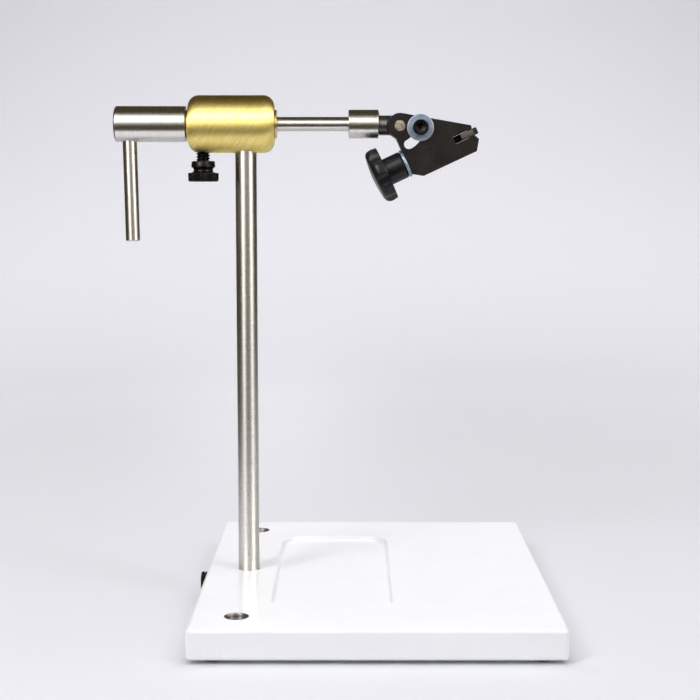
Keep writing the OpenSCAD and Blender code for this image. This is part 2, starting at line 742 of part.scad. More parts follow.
// One cheek on the side given by y_side: -1 is the front, 1 is the rear
module cheek(y_side) {
    outer = y_side * head_t / 2;
    slot_low = -rod_drop - slot_h / 2;
    head_frame() difference() {
        slab(min(0, outer), max(0, outer)) cheek_outline();
        // Arc slot for the tilt screw, and the pocket that the tongue's blade swings in
        slab(-head_t, head_t) arc_slot();
        cross_bar(0, 0, pocket_r, -cheek_gap_half, cheek_gap_half);
        cross_bar(0, 0, pivot_d / 2 + run_gap, -head_t, head_t);
        // Bore of the draw rod along the joint between the cheeks
        translate([-head_back - over, 0, -rod_drop]) to_x()
            cylinder(r = rod_d / 2 + run_gap, h = head_back + slot_back + 2 * over);
        // Window for the fork's bridge, then the groove for its arm
        translate([slot_back, -head_t, slot_low]) cube([window_front - slot_back, 2 * head_t, slot_h]);
        translate([window_front - over, y_side > 0 ? web_outer : -head_t, slot_low])
            cube([jaw_reach, head_t - web_outer, slot_h]);
        // Bevel at the end of the groove's floor, which the fork's lip closes on
        translate([0, 0, slot_low]) linear_extrude(slot_h) scale([1, y_side]) polygon([
            [web_bevel_sum - web_outer, web_outer], [jaw_reach + over, web_bevel_sum - jaw_reach - over],
            [jaw_reach + over, web_outer + over], [web_bevel_sum - web_outer, web_outer + over]]);
        // Slit between the jaws, where the hook's wire is held
        translate([jaw_reach - slit_len, -slit_half, -head_depth - over])
            cube([slit_len + beak_run + over, 2 * slit_half, head_depth + over]);
        for (s = dowel_shares)
            cross_bar(s.x * jaw_reach, -s.y * head_depth, dowel_d / 2, -dowel_len / 2, dowel_len / 2);
        for (s = screw_shares) {
            head_low = head_t / 2 - cheek_screw_sink - cheek_screw_head_h;
            cross_bar(s.x * jaw_reach, -s.y * head_depth, cheek_screw_d / 2 + seat_gap,
                head_low - cheek_screw_len + cheek_screw_head_h, head_low);
            cross_bar(s.x * jaw_reach, -s.y * head_depth, cheek_screw_head_d / 2 + slide_gap,
                head_low, head_t);
        }
    }
}

module front_cheek() color("#2b2726") cheek(-1);
module rear_cheek() color("#2b2726") cheek(1);

module cheek_dowels() {
    color("#8d8a86") head_frame() for (s = dowel_shares)
        cross_bar(s.x * jaw_reach, -s.y * head_depth, dowel_d / 2 - seat_gap,
            slide_gap - dowel_len / 2, dowel_len / 2 - slide_gap);
}

module cheek_screws() {
    head_top = head_t / 2 - cheek_screw_sink;
    color("#1a1718") head_frame() for (s = screw_shares)
        translate([s.x * jaw_reach, 0, -s.y * head_depth]) to_y() difference() {
            union() {
                translate([0, 0, head_top - cheek_screw_len + slide_gap])
                    cylinder(d = cheek_screw_d, h = cheek_screw_len - cheek_screw_head_h);
                translate([0, 0, head_top - cheek_screw_head_h])
                    chamfered(cheek_screw_head_d / 2, cheek_screw_head_h, 0, cheek_screw_sink);
            }
            translate([0, 0, head_top]) hex_socket(cheek_screw_hex_af, cheek_screw_head_h / 2);
        }
}

// The draw rod's frame: local Z runs forward along the rod, from place u along the head
module on_rod(u) head_frame() translate([u, 0, -rod_drop]) to_x() children();

module knob_washer() {
    color("#b7b6bc") on_rod(-head_back - knob_washer_t) difference() {
        chamfered(knob_washer_d / 2, knob_washer_t, slide_gap, slide_gap);
        translate([0, 0, -over]) cylinder(r = rod_d / 2 + slide_gap, h = knob_washer_t + 2 * over);
    }
}

// Half section of the knob, X is the radius and Y runs back from its front face
module knob_section() {
    wide_y = neck_len + knob_wide_h;
    polygon([[0, 0], [neck_d / 2 - neck_edge, 0], [neck_d / 2, neck_edge], [neck_d / 2, neck_len + over],
        [0, neck_len + over]]);
    polygon([[0, neck_len], [knob_face_d / 2, neck_len], [knob_d / 2, wide_y], [0, wide_y]]);
    translate([0, neck_len]) square([dome_half_w, knob_wide_h + knob_rim_r]);
    translate([dome_half_w, wide_y]) circle(knob_rim_r);
    intersection() {
        translate([0, knob_len - dome_r]) circle(dome_r);
        translate([0, wide_y]) square([dome_half_w, knob_len - wide_y]);
    }
}

module jaw_knob() {
    color("#333135") on_rod(knob_face_u) mirror([0, 0, 1]) difference() {
        rotate_extrude() knob_section();
        translate([0, 0, -over]) cylinder(d = insert_d, h = insert_len + over);
        cylinder(r = rod_d / 2 + free_gap, h = insert_len + rod_clear);
        for (i = [0 : flute_count - 1]) rotate([0, 0, (i + 1 / 2) * 360 / flute_count])
            translate([knob_d / 2 + flute_r - flute_depth, 0, neck_len - over])
                cylinder(r = flute_r, h = knob_len);
    }
}

module knob_insert() {
    color("#c9a94e") on_rod(knob_face_u - insert_len) difference() {
        cylinder(r = insert_d / 2 - seat_gap, h = insert_len);
        translate([0, 0, -over]) cylinder(r = rod_d / 2 + run_gap, h = insert_len + 2 * over);
    }
}

module draw_rod() {
    color("#1d1a18") on_rod(rod_end_u) {
        chamfered(rod_d / 2, fork_back - rod_end_u, free_gap, 0);
        cylinder(d = rod_tip_d, h = fork_back + bridge_t - rod_end_u);
    }
}

// One arm of the fork: a bevelled bar that ends in a lip turned in over the jaw
module fork_arm() {
    outer = head_t / 2 - slide_gap;
    slope_sum = web_bevel_sum + lip_play;
    lip_u = slope_sum - lip_inner;
    intersection() {
        translate([0, 0, -arm_half_h]) linear_extrude(2 * arm_half_h) polygon([
            [fork_back, arm_inner], [slope_sum - arm_inner, arm_inner], [lip_u, lip_inner],
            [max(fork_front, lip_u + nose_lip_t), lip_inner], [max(fork_front, lip_u + nose_lip_t), outer],
            [fork_back, outer]]);
        translate([fork_back, 0, 0]) rotate([90, 0, 90]) linear_extrude(2 * fork_len) polygon([
            [0, -arm_half_h], [outer - arm_bevel, -arm_half_h], [outer, arm_bevel - arm_half_h],
            [outer, arm_half_h - arm_bevel], [outer - arm_bevel, arm_half_h], [0, arm_half_h]]);
    }
}

module jaw_fork() {
    color("#cfccc6") head_frame() translate([0, 0, -rod_drop]) difference() {
        union() {
            for (side = [0, 1]) mirror([0, side, 0]) fork_arm();
            translate([fork_back, -arm_inner - arm_t / 2, -arm_half_h])
                cube([bridge_t, 2 * arm_inner + arm_t, 2 * arm_half_h]);
        }
        translate([fork_back - over, 0, 0]) to_x()
            cylinder(d = rod_tip_d + 2 * seat_gap, h = bridge_t + 2 * over);
    }
}

placed() base_plate();
placed() rubber_feet();
placed() base_thumb_screw();
placed() stem();
placed() hub();
placed() left_bushing();
placed() right_bushing();
placed() stem_set_screw();
placed() tension_screw();
placed() tension_tip();
placed() spindle();
placed() crank_cylinder();
placed() crank_handle();
placed() crank_set_screw();
placed() collar();
placed() collar_set_screw();
placed() tongue();
placed() pivot_pin();
placed() tilt_washer();
placed() tilt_screw();
placed() front_cheek();
placed() rear_cheek();
placed() cheek_dowels();
placed() cheek_screws();
placed() knob_washer();
placed() jaw_knob();
placed() knob_insert();
placed() draw_rod();
placed() jaw_fork();
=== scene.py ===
import json
from math import acos, atan2, ceil, cos, hypot, pi, radians, sin, sqrt, tan

import bmesh
import bpy
from mathutils import Matrix, Vector

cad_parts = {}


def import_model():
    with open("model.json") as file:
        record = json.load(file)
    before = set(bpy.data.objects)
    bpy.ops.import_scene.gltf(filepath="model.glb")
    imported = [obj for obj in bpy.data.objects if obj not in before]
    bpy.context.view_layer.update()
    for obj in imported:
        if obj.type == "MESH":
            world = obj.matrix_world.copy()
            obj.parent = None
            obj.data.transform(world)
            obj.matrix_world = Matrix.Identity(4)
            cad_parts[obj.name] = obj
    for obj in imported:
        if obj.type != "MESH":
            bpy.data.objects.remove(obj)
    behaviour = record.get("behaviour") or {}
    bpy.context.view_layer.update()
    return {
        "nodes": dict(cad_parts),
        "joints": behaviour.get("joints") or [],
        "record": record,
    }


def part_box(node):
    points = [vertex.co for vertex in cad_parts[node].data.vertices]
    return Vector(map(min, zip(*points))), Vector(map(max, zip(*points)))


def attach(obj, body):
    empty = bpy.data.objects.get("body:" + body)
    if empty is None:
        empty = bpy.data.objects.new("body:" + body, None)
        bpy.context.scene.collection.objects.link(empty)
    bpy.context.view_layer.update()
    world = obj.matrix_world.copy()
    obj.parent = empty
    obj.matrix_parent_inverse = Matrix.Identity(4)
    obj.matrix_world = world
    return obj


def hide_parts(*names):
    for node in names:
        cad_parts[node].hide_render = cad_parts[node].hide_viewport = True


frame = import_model()

# Shapes are written in millimetres and built in metres
MM = 0.001
TAU = 2 * pi
RECORD = frame["record"]
BODY_OF = {n: body for body, nodes in RECORD["behaviour"]["bodies"].items() for n in nodes}
SLOT_OF = {part["node"]: part["material_slot"] for part in RECORD["subparts"]}
JOINTS = {joint["name"]: joint for joint in frame["joints"]}


def box_mm(node):
    """The lowest and highest corner of a CAD node, in millimetres."""
    low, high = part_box(node)
    return low / MM, high / MM


def middle(node):
    low, high = box_mm(node)
    return (low + high) / 2


# Places that come from the frame, in millimetres
STEM = middle("stem")
STEM_LOW, STEM_HIGH = box_mm("stem")
PLATE_LOW, PLATE_HIGH = box_mm("base_plate")
PLATE_MID, PLATE_HALF = (PLATE_LOW + PLATE_HIGH) / 2, (PLATE_HIGH - PLATE_LOW) / 2
HUB_LOW, HUB_HIGH = box_mm("hub")
AXIS_Z = JOINTS["rotary_spin"]["pos_m"][2] / MM
CRANK_LOW, CRANK_HIGH = box_mm("crank_cylinder")
COLLAR_LOW, COLLAR_HIGH = box_mm("collar")
PIVOT = Vector(JOINTS["head_tilt"]["pos_m"]) / MM
TILT_AXIS = Vector(JOINTS["tilt_screw_turn"]["pos_m"]) / MM
ROD_POINT = Vector(JOINTS["jaw_knob_turn"]["pos_m"]) / MM
ROD_BACK = Vector(JOINTS["jaw_knob_turn"]["axis"])
TENSION_X = middle("tension_screw").x
BASE_SCREW_Z = JOINTS["base_screw_turn"]["pos_m"][2] / MM
HEAD_ANGLE = atan2(-ROD_BACK.z, -ROD_BACK.x)
ROD_DROP = (ROD_POINT - PIVOT).length

# Sizes that pieces share with each other or with their CAD nodes
STEM_R = 4.7625
SPINDLE_R = 3.175
HUB_R = 12.7
HUB_ROUND = 4.8
BUSHING_R = 4.75
FLANGE_R = 6.25
CRANK_R = 7.95
CRANK_SEAT = 17.5
HANDLE_INSET = 6.2
HANDLE_LEN = 51.8
HANDLE_LEAN = radians(1.0)
COLLAR_R = 6.375
COLLAR_DOME = 0.8
SET_SCREW_R = 2.05
TRAY_W, TRAY_D, TRAY_DEPTH, TRAY_CORNER = 50.8, 127.0, 2.5, 12.7
TRAY_OFFSET = 13.2
HOLE_R = 4.8
HOLE_INSET = 19.05
HEAD_HALF = 5.0
HEAD_ROUND = 5.6
HEAD_BACK, HEAD_DEPTH = 3.9, 24.45
SLIT_HALF = 0.4
BLADE_HALF = 2.0
JAW_REACH, SLOT_HALF, SLOT_BACK, WINDOW_FRONT = 28.2, 1.65, 18.9, 26.3
FORK_BACK, FORK_LEN, FORK_BRIDGE, FORK_BRIGHT = 22.35, 7.75, 2.25, 28.3
ARC_R, ARC_HALF = 9.0, 2.1
CHEEK_SCREWS = [(a * JAW_REACH, -d * HEAD_DEPTH) for a, d in ((0.30, 0.86), (0.62, 0.47))]
TILT_WASHER, KNOB_WASHER = 1.2, 1.3
KNOB_SEAT = 5.3
SNUG, BORE_GAP, HOLE_RIM = 0.02, 0.03, 0.15

# How far a cutter runs past a surface, and the share of a right angle that a rim's arc covers
OVERRUN = 1
RIM_SHARE = 0.80


# Placement: matrices in metres that carry a piece's local Z to its own direction
def shift(x=0.0, y=0.0, z=0.0):
    return Matrix.Translation(Vector((x, y, z)) * MM)


def turn(degrees, axis):
    return Matrix.Rotation(radians(degrees), 4, axis)


def along_x(x, z=None):
    return shift(x, 0, AXIS_Z if z is None else z) @ turn(90, "Y")


def downwards(x, z):
    return shift(x, 0, z) @ turn(180, "X")


def leftwards(x, z):
    return shift(x, 0, z) @ turn(-90, "Y")


def rearwards(x, y, z):
    return shift(x, y, z) @ turn(-90, "X")


def frontwards(x, y, z):
    return shift(x, y, z) @ turn(90, "X")


def head(u=0.0, y=0.0, v=0.0):
    """The head's frame: local X along the jaws, local Z square to them, origin at the pivot."""
    base = shift(PIVOT.x, 0, PIVOT.z) @ Matrix.Rotation(-HEAD_ANGLE, 4, "Y")
    return base @ shift(u, y, v)


def rod(u, backwards=False):
    """Local Z along the draw rod, from place u along the head."""
    return head(u, 0, -ROD_DROP) @ turn(-90 if backwards else 90, "Y")


# Outlines and profiles
def polar(radius, angle):
    return radius * Vector((cos(angle), sin(angle)))


def quarter(steps, share=1.0):
    """Angles from zero up to a share of a right angle."""
    return [TAU / 4 * share * k / steps for k in range(steps + 1)]


def fillet(corners, closed=False, steps=5):
    """Points through corners (x, y) or (x, y, radius), where a radius makes that corner an arc."""
    points = []
    count = len(corners)
    for i, corner in enumerate(corners):
        p = Vector(corner[:2])
        radius = corner[2] if len(corner) > 2 else 0
        if radius == 0 or (not closed and i in (0, count - 1)):
            points.append(p)
            continue
        a = (Vector(corners[i - 1][:2]) - p).normalized()
        b = (Vector(corners[(i + 1) % count][:2]) - p).normalized()
        half = acos(max(-1.0, min(1.0, a.dot(b)))) / 2
        centre = p + (a + b).normalized() * (radius / sin(half))
        start = p + a * (radius / tan(half)) - centre
        end = p + b * (radius / tan(half)) - centre
        first = atan2(start.y, start.x)
        sweep = (atan2(end.y, end.x) - first + pi) % TAU - pi
        points += [centre + polar(radius, first + sweep * k / steps) for k in range(steps + 1)]
    return points


def circle_points(radius, count=64):
    angles = [TAU * k / count for k in range(count)]
    return [Vector((radius * cos(a), radius * sin(a))) for a in angles]


def box_points(x_low, x_high, y_low, y_high, radius=0.0, steps=5):
    corners = [(x_low, y_low), (x_high, y_low), (x_high, y_high), (x_low, y_high)]
    return fillet([(*c, radius) for c in corners], closed=True, steps=steps)


def offset(outline, inset):
    """An anticlockwise outline moved inwards by inset, or outwards where inset is negative."""
    count = len(outline)
    moved = []
    for i, p in enumerate(outline):
        before = (p - outline[i - 1]).normalized()
        after = (outline[(i + 1) % count] - p).normalized()
        n_before = Vector((before.y, -before.x))
        n_after = Vector((after.y, -after.x))
        moved.append(p - (n_before + n_after) * (inset / (1 + n_before.dot(n_after))))
    return moved


def round_levels(low, high, r_low, r_high, steps=4):
    """Levels (height, inset) of a solid whose lower and upper edges are rounded."""
    below = [(low + r_low * (1 - sin(a)), r_low * (1 - cos(a))) for a in quarter(steps)]
    above = [(high - r_high * (1 - sin(a)), r_high * (1 - cos(a))) for a in quarter(steps)]
    return below[::-1] + above


def flare_levels(low, high, flare, low_round=0.0, steps=4):
    """Levels of a cutter that leaves a rounded rim at high and a fillet at its floor, low."""
    levels = [(low, 0)]
    if low_round > 0:
        levels = [(low + low_round * (1 - cos(a)), low_round * (1 - sin(a)))
                  for a in quarter(steps)]
    full = sin(TAU / 4 * RIM_SHARE)
    for a in quarter(steps, RIM_SHARE):
        levels.append((high - flare * (1 - sin(a) / full), -flare * (1 - cos(a))))
    levels.append((high + OVERRUN, levels[-1][1] - OVERRUN))
    return levels


def add_object(name, data):
    added = bpy.data.objects.new(name, data)
    bpy.context.scene.collection.objects.link(added)
    return added


# Mesh makers
def mesh_piece(name, verts, faces, place):
    mesh = bpy.data.meshes.new(name)
    mesh.from_pydata([Vector(v) * MM for v in verts], [], faces)
    bm = bmesh.new()
    bm.from_mesh(mesh)
    bmesh.ops.recalc_face_normals(bm, faces=bm.faces)
    bm.to_mesh(mesh)
    bm.free()
    piece = add_object(name, mesh)
    piece.matrix_world = place
    return piece


def lathe(name, profile, place, *shapes, segments=96, closed=False):
    """Turns a profile of (radius, height) about local Z. Shapes bend a radius by its angle and height."""
    verts, rings = [], []
    for radius, height in profile:
        first = len(verts)
        for k in range(segments if radius > 1e-6 else 1):
            angle, r = TAU * k / segments, radius
            for shape in shapes if radius > 1e-6 else ():
                r = shape(angle, r, height)
            verts.append((r * cos(angle), r * sin(angle), height))
        rings.append(range(first, len(verts)))
    faces = []
    for low, high in zip(rings, rings[1:] + rings[:1] if closed else rings[1:]):
        for k in range(segments):
            j = (k + 1) % segments
            if len(low) == 1 < len(high):
                faces.append((low[0], high[j], high[k]))
            elif len(high) == 1 < len(low):
                faces.append((low[k], low[j], high[0]))
            elif len(low) > 1:
                faces.append((low[k], low[j], high[j], high[k]))
    return mesh_piece(name, verts, faces, place)


def stack(name, outline, levels, place):
    """A solid whose outline lies at each level (height, inset) along local Z."""
    count = len(outline)
    last = (len(levels) - 1) * count
    verts = [(p.x, p.y, height) for height, inset in levels for p in offset(outline, inset)]
    faces = [tuple(reversed(range(count)))]
    for a in range(0, last, count):
        b = a + count
        faces += [(a + k, a + (k + 1) % count, b + (k + 1) % count, b + k) for k in range(count)]
    faces.append(tuple(range(last, last + count)))
    return mesh_piece(name, verts, faces, place)


def rod_cutter(radius, low, high, place, flare=0.0):
    """A round cutter from low up to the surface at high, with a rounded rim there."""
    levels = flare_levels(low, high, flare) if flare else [(low, 0), (high + OVERRUN, 0)]
    return stack("cutter", circle_points(radius), levels, place)


def cut(piece, *cutters):
    """Takes the cutters out of a piece, and removes them."""
    for cutter in cutters:
        modifier = piece.modifiers.new("cut", "BOOLEAN")
        modifier.operation = "DIFFERENCE"
        modifier.solver = "EXACT"
        modifier.object = cutter
        bpy.context.view_layer.update()
        graph = bpy.context.evaluated_depsgraph_get()
        mesh = bpy.data.meshes.new_from_object(piece.evaluated_get(graph))
        piece.modifiers.clear()
        piece.data = mesh
        bpy.data.objects.remove(cutter)


def join(first, *others):
    """Adds other pieces' meshes to the first one, where they stand."""
    bm = bmesh.new()
    bm.from_mesh(first.data)
    for other in others:
        mesh = other.data.copy()
        mesh.transform(first.matrix_world.inverted() @ other.matrix_world)
        bm.from_mesh(mesh)
        bpy.data.objects.remove(other)
    bm.to_mesh(first.data)
    bm.free()
    return first


# Radius shapes for turned pieces
def knurl(count, depth, low, high):
    """Teeth round the piece between two heights. Rings near the axis stay round."""
    core = depth * 8

    def shape(angle, radius, height):
        if not low <= height <= high or radius < core:
            return radius
        return radius - depth * abs(angle / TAU * count % 1 - 0.5) * 2
    return shape


def thread(pitch, depth, low, high):
    """A helix of ridges with flat crests and roots, which fades out at both ends."""
    crest, flank = 0.15, 0.7

    def shape(angle, radius, height):
        fade = min(1.0, (height - low) / pitch, (high - height) / pitch)
        if fade <= 0:
            return radius
        wave = abs((height / pitch + angle / TAU) % 1 - 0.5) * 2
        return radius - depth * fade * min(1.0, max(0.0, (wave - crest) / flank))
    return shape


def hexed(across_flats):
    """Rings whose radius is half of across_flats become a hexagon."""
    def shape(angle, radius, height):
        if abs(radius - across_flats / 2) > 1e-6:
            return radius
        return radius / cos(angle % (TAU / 6) - TAU / 12)
    return shape


def fine_steps(points, step):
    """The same profile with points no further apart than step."""
    out = [points[0]]
    for p in points[1:]:
        count = max(1, ceil((p - out[-1]).length / step))
        start = out[-1]
        out += [start.lerp(p, k / count) for k in range(1, count + 1)]
    return out


def socket_profile(across_flats, depth, top):
    """Profile points that run from a head's top into its hex socket, down to the drill's cone."""
    r = across_flats / 2
    floor = top - depth
    corner_share, cone_share, mouth, step = 1.16, 0.35, 0.12, 0.05
    return fillet([(r * corner_share + mouth, top), (r, top - mouth), (r, floor),
                   (r * 0.9, floor - step), (0, floor - r * cone_share)])


# Materials, by name
MATERIALS = {}


class Tree:
    """A node tree with short calls for its nodes."""

    def __init__(self, tree):
        self.tree = tree

    def add(self, kind, **settings):
        node = self.tree.nodes.new("ShaderNode" + kind)
        for key, value in settings.items():
            setattr(node, key, value)
        return node

    def link(self, a, b):
        self.tree.links.new(a, b)

    def plug(self, value, socket):
        """Writes a number or colour into a socket, or links another node's output to it."""
        if isinstance(value, tuple):
            socket.default_value = (*value, 1)
        elif isinstance(value, (int, float)):
            socket.default_value = value
        else:
            self.link(value, socket)

    def wire(self, node, **values):
        """Plugs values into a node, where Base_Color is its Base Color, and so on."""
        for socket, value in values.items():
            self.plug(value, node.inputs[socket.replace("_", " ")])
        return node

    def split(self, vector):
        node = self.wire(self.add("SeparateXYZ"), Vector=vector)
        return [node.outputs[axis] for axis in "XYZ"]

    def combine(self, *values):
        node = self.add("CombineXYZ")
        for value, axis in zip(values, "XYZ"):
            self.link(value, node.inputs[axis])
        return node.outputs["Vector"]

    def noise(self, scale, detail=2.0, stretch=(1, 1, 1), coords=None):
        mapping = self.wire(self.add("Mapping"), Vector=coords or self.coords)
        mapping.inputs["Scale"].default_value = [scale * s for s in stretch]
        vector = mapping.outputs["Vector"]
        node = self.wire(self.add("TexNoise"), Vector=vector, Scale=1.0, Detail=detail)
        return node.outputs["Fac"]

    def range(self, value, low, high, from_low=0.3, from_high=0.7):
        node = self.add("MapRange")
        for number, socket in zip((value, from_low, from_high, low, high), node.inputs):
            self.plug(number, socket)
        return node.outputs["Result"]

    def math(self, operation, *values):
        node = self.add("Math", operation=operation)
        for value, socket in zip(values, node.inputs):
            self.plug(value, socket)
        return node.outputs[0]

    def plus(self, a, b):
        return self.math("ADD", a, b)

    def minus(self, a, b):
        return self.math("SUBTRACT", a, b)

    def times(self, a, b):
        return self.math("MULTIPLY", a, b)

    def over(self, a, b):
        return self.math("DIVIDE", a, b)

    def squares(self, a, b):
        """The sum of two squares."""
        return self.plus(self.times(a, a), self.times(b, b))

    def blend(self, a, b, share):
        """A share of a and the rest of b."""
        return self.plus(self.times(a, share), self.times(b, 1 - share))

    def mix(self, factor, a, b, blend_type="MIX"):
        node = self.add("Mix", data_type="RGBA", blend_type=blend_type)
        self.plug(factor, node.inputs["Factor"])
        for value, socket in zip((a, b), [s for s in node.inputs if s.type == "RGBA"]):
            self.plug(value, socket)
        return [s for s in node.outputs if s.type == "RGBA"][0]


class Nodes(Tree):
    """A material with one principled shader."""

    def __init__(self, name, **values):
        material = bpy.data.materials.new(name)
        MATERIALS[name] = material
        material.use_nodes = True
        super().__init__(material.node_tree)
        self.shader = self.tree.nodes["Principled BSDF"]
        self.coords = self.add("TexCoord").outputs["Object"]
        self.normal = None
        self.set(**values)

    def set(self, **values):
        self.wire(self.shader, **values)

    def tones(self, value, low, high):
        """A base colour that a noise carries from low to high."""
        self.set(Base_Color=self.mix(self.range(value, 0, 1), low, high))

    def bump(self, height, depth_mm):
        node = self.wire(self.add("Bump"), Height=height, Distance=depth_mm * MM)
        if self.normal:
            self.link(self.normal, node.inputs["Normal"])
        self.normal = node.outputs["Normal"]
        self.set(Normal=self.normal)

    def edge_mask(self, radius_mm):
        """Bright along edges: how far a bevelled normal departs from the true one."""
        bevel = self.wire(self.add("Bevel", samples=4), Radius=radius_mm * MM)
        geometry = self.add("NewGeometry")
        dot = self.add("VectorMath", operation="DOT_PRODUCT")
        self.link(bevel.outputs["Normal"], dot.inputs[0])
        self.link(geometry.outputs["Normal"], dot.inputs[1])
        return self.range(self.minus(1.0, dot.outputs["Value"]), 0.0, 1.0, 0.02, 0.25)

    def turned_tangent(self, amount, rotation=0.25):
        """Highlights that spread along local Z, as on a surface turned round it."""
        tangent = self.add("Tangent", direction_type="RADIAL", axis="Z").outputs["Tangent"]
        self.set(Tangent=tangent, Anisotropic=amount, Anisotropic_Rotation=rotation)


# The stretch of a noise whose marks run round local Z
ROUND = (0.05, 0.05, 1)


def brushed_round(name, color, roughness, anisotropy):
    """Metal with fine marks that run round local Z."""
    m = Nodes(name, Metallic=1.0)
    m.turned_tangent(anisotropy)
    dark = 0.82
    fine = m.noise(2600, detail=5, stretch=ROUND)
    broad = m.noise(700, detail=3, stretch=(0.25, 0.25, 1))
    cloud = m.noise(1400, detail=4)
    m.tones(m.blend(fine, broad, 0.70), tuple(c * dark for c in color), color)
    m.set(Roughness=m.range(cloud, roughness * 0.95, roughness * 1.06))
    m.bump(fine, 0.0012)


def hub_brass():
    """Brass brushed at a slant to the rotary axis."""
    m = Nodes("hub_brass", Metallic=1.0)
    m.turned_tangent(0.83, rotation=0.27)
    x, y, z = m.split(m.coords)
    # The seam of the angle lies at the rear
    around = m.math("ARCTAN2", x, m.times(y, -1.0))
    arc = m.times(around, HUB_R * MM)
    slant = radians(58)
    across = m.plus(m.times(z, sin(slant)), m.times(arc, cos(slant)))
    along = m.minus(m.times(arc, sin(slant)), m.times(z, cos(slant)))
    coords = m.combine(across, along)
    strokes = m.noise(3400, detail=4, stretch=(1, 0.05, 1), coords=coords)
    broad = m.noise(1100, detail=3, stretch=(1, 0.10, 1), coords=coords)
    marks = m.blend(strokes, broad, 0.6)
    m.tones(marks, (0.83, 0.63, 0.13), (0.97, 0.85, 0.42))
    m.set(Roughness=m.range(marks, 0.67, 0.59))
    m.bump(strokes, 0.011)


def white_coat():
    """Powder coat: gloss over a fine orange peel."""
    m = Nodes("white_coat", Coat_Weight=0.25, Coat_Roughness=0.12)
    peel = m.noise(900, detail=1.5)
    swell = m.noise(330, detail=2)
    m.tones(m.noise(60, detail=4), (0.915, 0.917, 0.930), (0.940, 0.940, 0.948))
    m.set(Roughness=m.range(swell, 0.30, 0.42))
    m.bump(peel, 0.045)
    m.bump(swell, 0.080)


def ringed(name, scale, low, high, depth_mm, **values):
    """Steel with rings round local Z, as a drill or a lathe leaves them."""
    m = Nodes(name, **values)
    m.turned_tangent(0.8)
    rings = m.noise(scale, detail=3, stretch=ROUND)
    m.tones(rings, low, high)
    m.bump(rings, depth_mm)


def foot_rubber():
    m = Nodes("foot_rubber", Roughness=0.78)
    m.tones(m.noise(400, detail=4), (0.016, 0.015, 0.016), (0.034, 0.032, 0.033))
    m.bump(m.noise(2500, detail=3), 0.02)


def black_oxide(name, color, roughness, edge, specular):
    """Steel blackened by oxide: a brown-black satin, lighter along its edges, which is partly rubbed wear
    and partly a painted edge highlight.
    """
    m = Nodes(name, Metallic=0.25, Specular_IOR_Level=specular)
    rubbed_edge_and_highlight = (0.115, 0.103, 0.095)
    mottle = m.noise(150, detail=6)
    grain = m.noise(1900, detail=3)
    dark = tuple(c * 0.50 for c in color)
    light = (color[0] * 1.6, color[1] * 1.45, color[2] * 1.35)
    body = m.mix(m.range(mottle, 0, 1), dark, light)
    # Lighter edges: partly rubbed wear, partly a painted highlight along the edges
    edges = m.times(m.edge_mask(edge), m.range(grain, 0.25, 0.8))
    roughness = m.range(grain, roughness * 0.85, roughness * 1.2)
    m.set(Base_Color=m.mix(edges, body, rubbed_edge_and_highlight), Roughness=roughness)
    m.bump(grain, 0.008)


def zinc_plate():
    """Clear zinc with a bluish cast, turned rings and a painted highlight along its edges."""
    m = Nodes("zinc_plate", Metallic=0.5)
    m.turned_tangent(0.45)
    groove, edge = (0.13, 0.16, 0.22), (0.80, 0.84, 0.90)
    x, y, _ = m.split(m.coords)
    rings = m.noise(2400, detail=3, coords=m.combine(m.math("SQRT", m.squares(x, y))))
    cloud = m.noise(420, detail=4)
    face = m.mix(m.range(cloud, 0, 1), (0.19, 0.24, 0.33), (0.37, 0.43, 0.54))
    lined = m.mix(m.range(rings, 0.55, 0.0), face, groove)
    # The edge colour is a painted highlight along the washer's rims
    m.set(Base_Color=m.mix(m.edge_mask(0.7), lined, edge), Roughness=m.range(cloud, 0.40, 0.55))
    m.bump(rings, 0.006)


def pin_steel():
    m = Nodes("pin_steel", Metallic=0.4)
    cloud = m.noise(900, detail=5)
    m.tones(cloud, (0.11, 0.085, 0.05), (0.55, 0.475, 0.365))
    m.set(Roughness=m.range(cloud, 0.50, 0.34))
    m.bump(m.noise(3000, detail=3), 0.012)


def fork_steel():
    """Bright steel ground along the jaws."""
    m = Nodes("fork_steel", Metallic=1.0)
    lines = m.noise(3200, detail=4, stretch=(0.05, 1, 1))
    m.tones(lines, (0.13, 0.108, 0.094), (0.31, 0.28, 0.246))
    m.set(Roughness=m.range(lines, 0.36, 0.24))
    m.bump(lines, 0.006)


def knob_plastic():
    """Moulded black plastic with a satin skin."""
    m = Nodes("knob_plastic", Specular_IOR_Level=0.20)
    skin = m.noise(1300, detail=3)
    m.tones(m.noise(150, detail=4), (0.007, 0.0065, 0.0075), (0.012, 0.0115, 0.0125))
    m.set(Roughness=m.range(skin, 0.27, 0.34))
    m.bump(skin, 0.005)


def tip_nylon():
    m = Nodes("tip_nylon", Roughness=0.45, Subsurface_Weight=0.15)
    m.tones(m.noise(500, detail=3), (0.82, 0.79, 0.70), (0.89, 0.87, 0.80))
    m.bump(m.noise(1800, detail=2), 0.01)


white_coat()
foot_rubber()
brushed_round("stainless", (0.60, 0.58, 0.55), 0.285, anisotropy=0.60)
hub_brass()
brushed_round("bushing_bronze", (0.64, 0.49, 0.22), 0.34, anisotropy=0.4)
black_oxide("black_oxide", (0.0145, 0.0126, 0.0117), 0.31, edge=0.15, specular=0.34)
tip_nylon()
zinc_plate()
pin_steel()
fork_steel()
knob_plastic()
brushed_round("insert_brass", (0.75, 0.60, 0.28), 0.35, anisotropy=0.4)
# The accessory holes' uncoated walls, the screws and the tongue's turned shank
ringed("bare_bore", 1500, (0.10, 0.09, 0.085), (0.46, 0.43, 0.415), 0.02, Roughness=0.42, Metallic=0.75)
black_oxide("screw_black", (0.0045, 0.0039, 0.0036), 0.26, edge=0.10, specular=0.20)
ringed("shank_black", 1600, (0.009, 0.008, 0.007), (0.022, 0.019, 0.016), 0.0015,
       Roughness=0.43, Specular_IOR_Level=0.95)
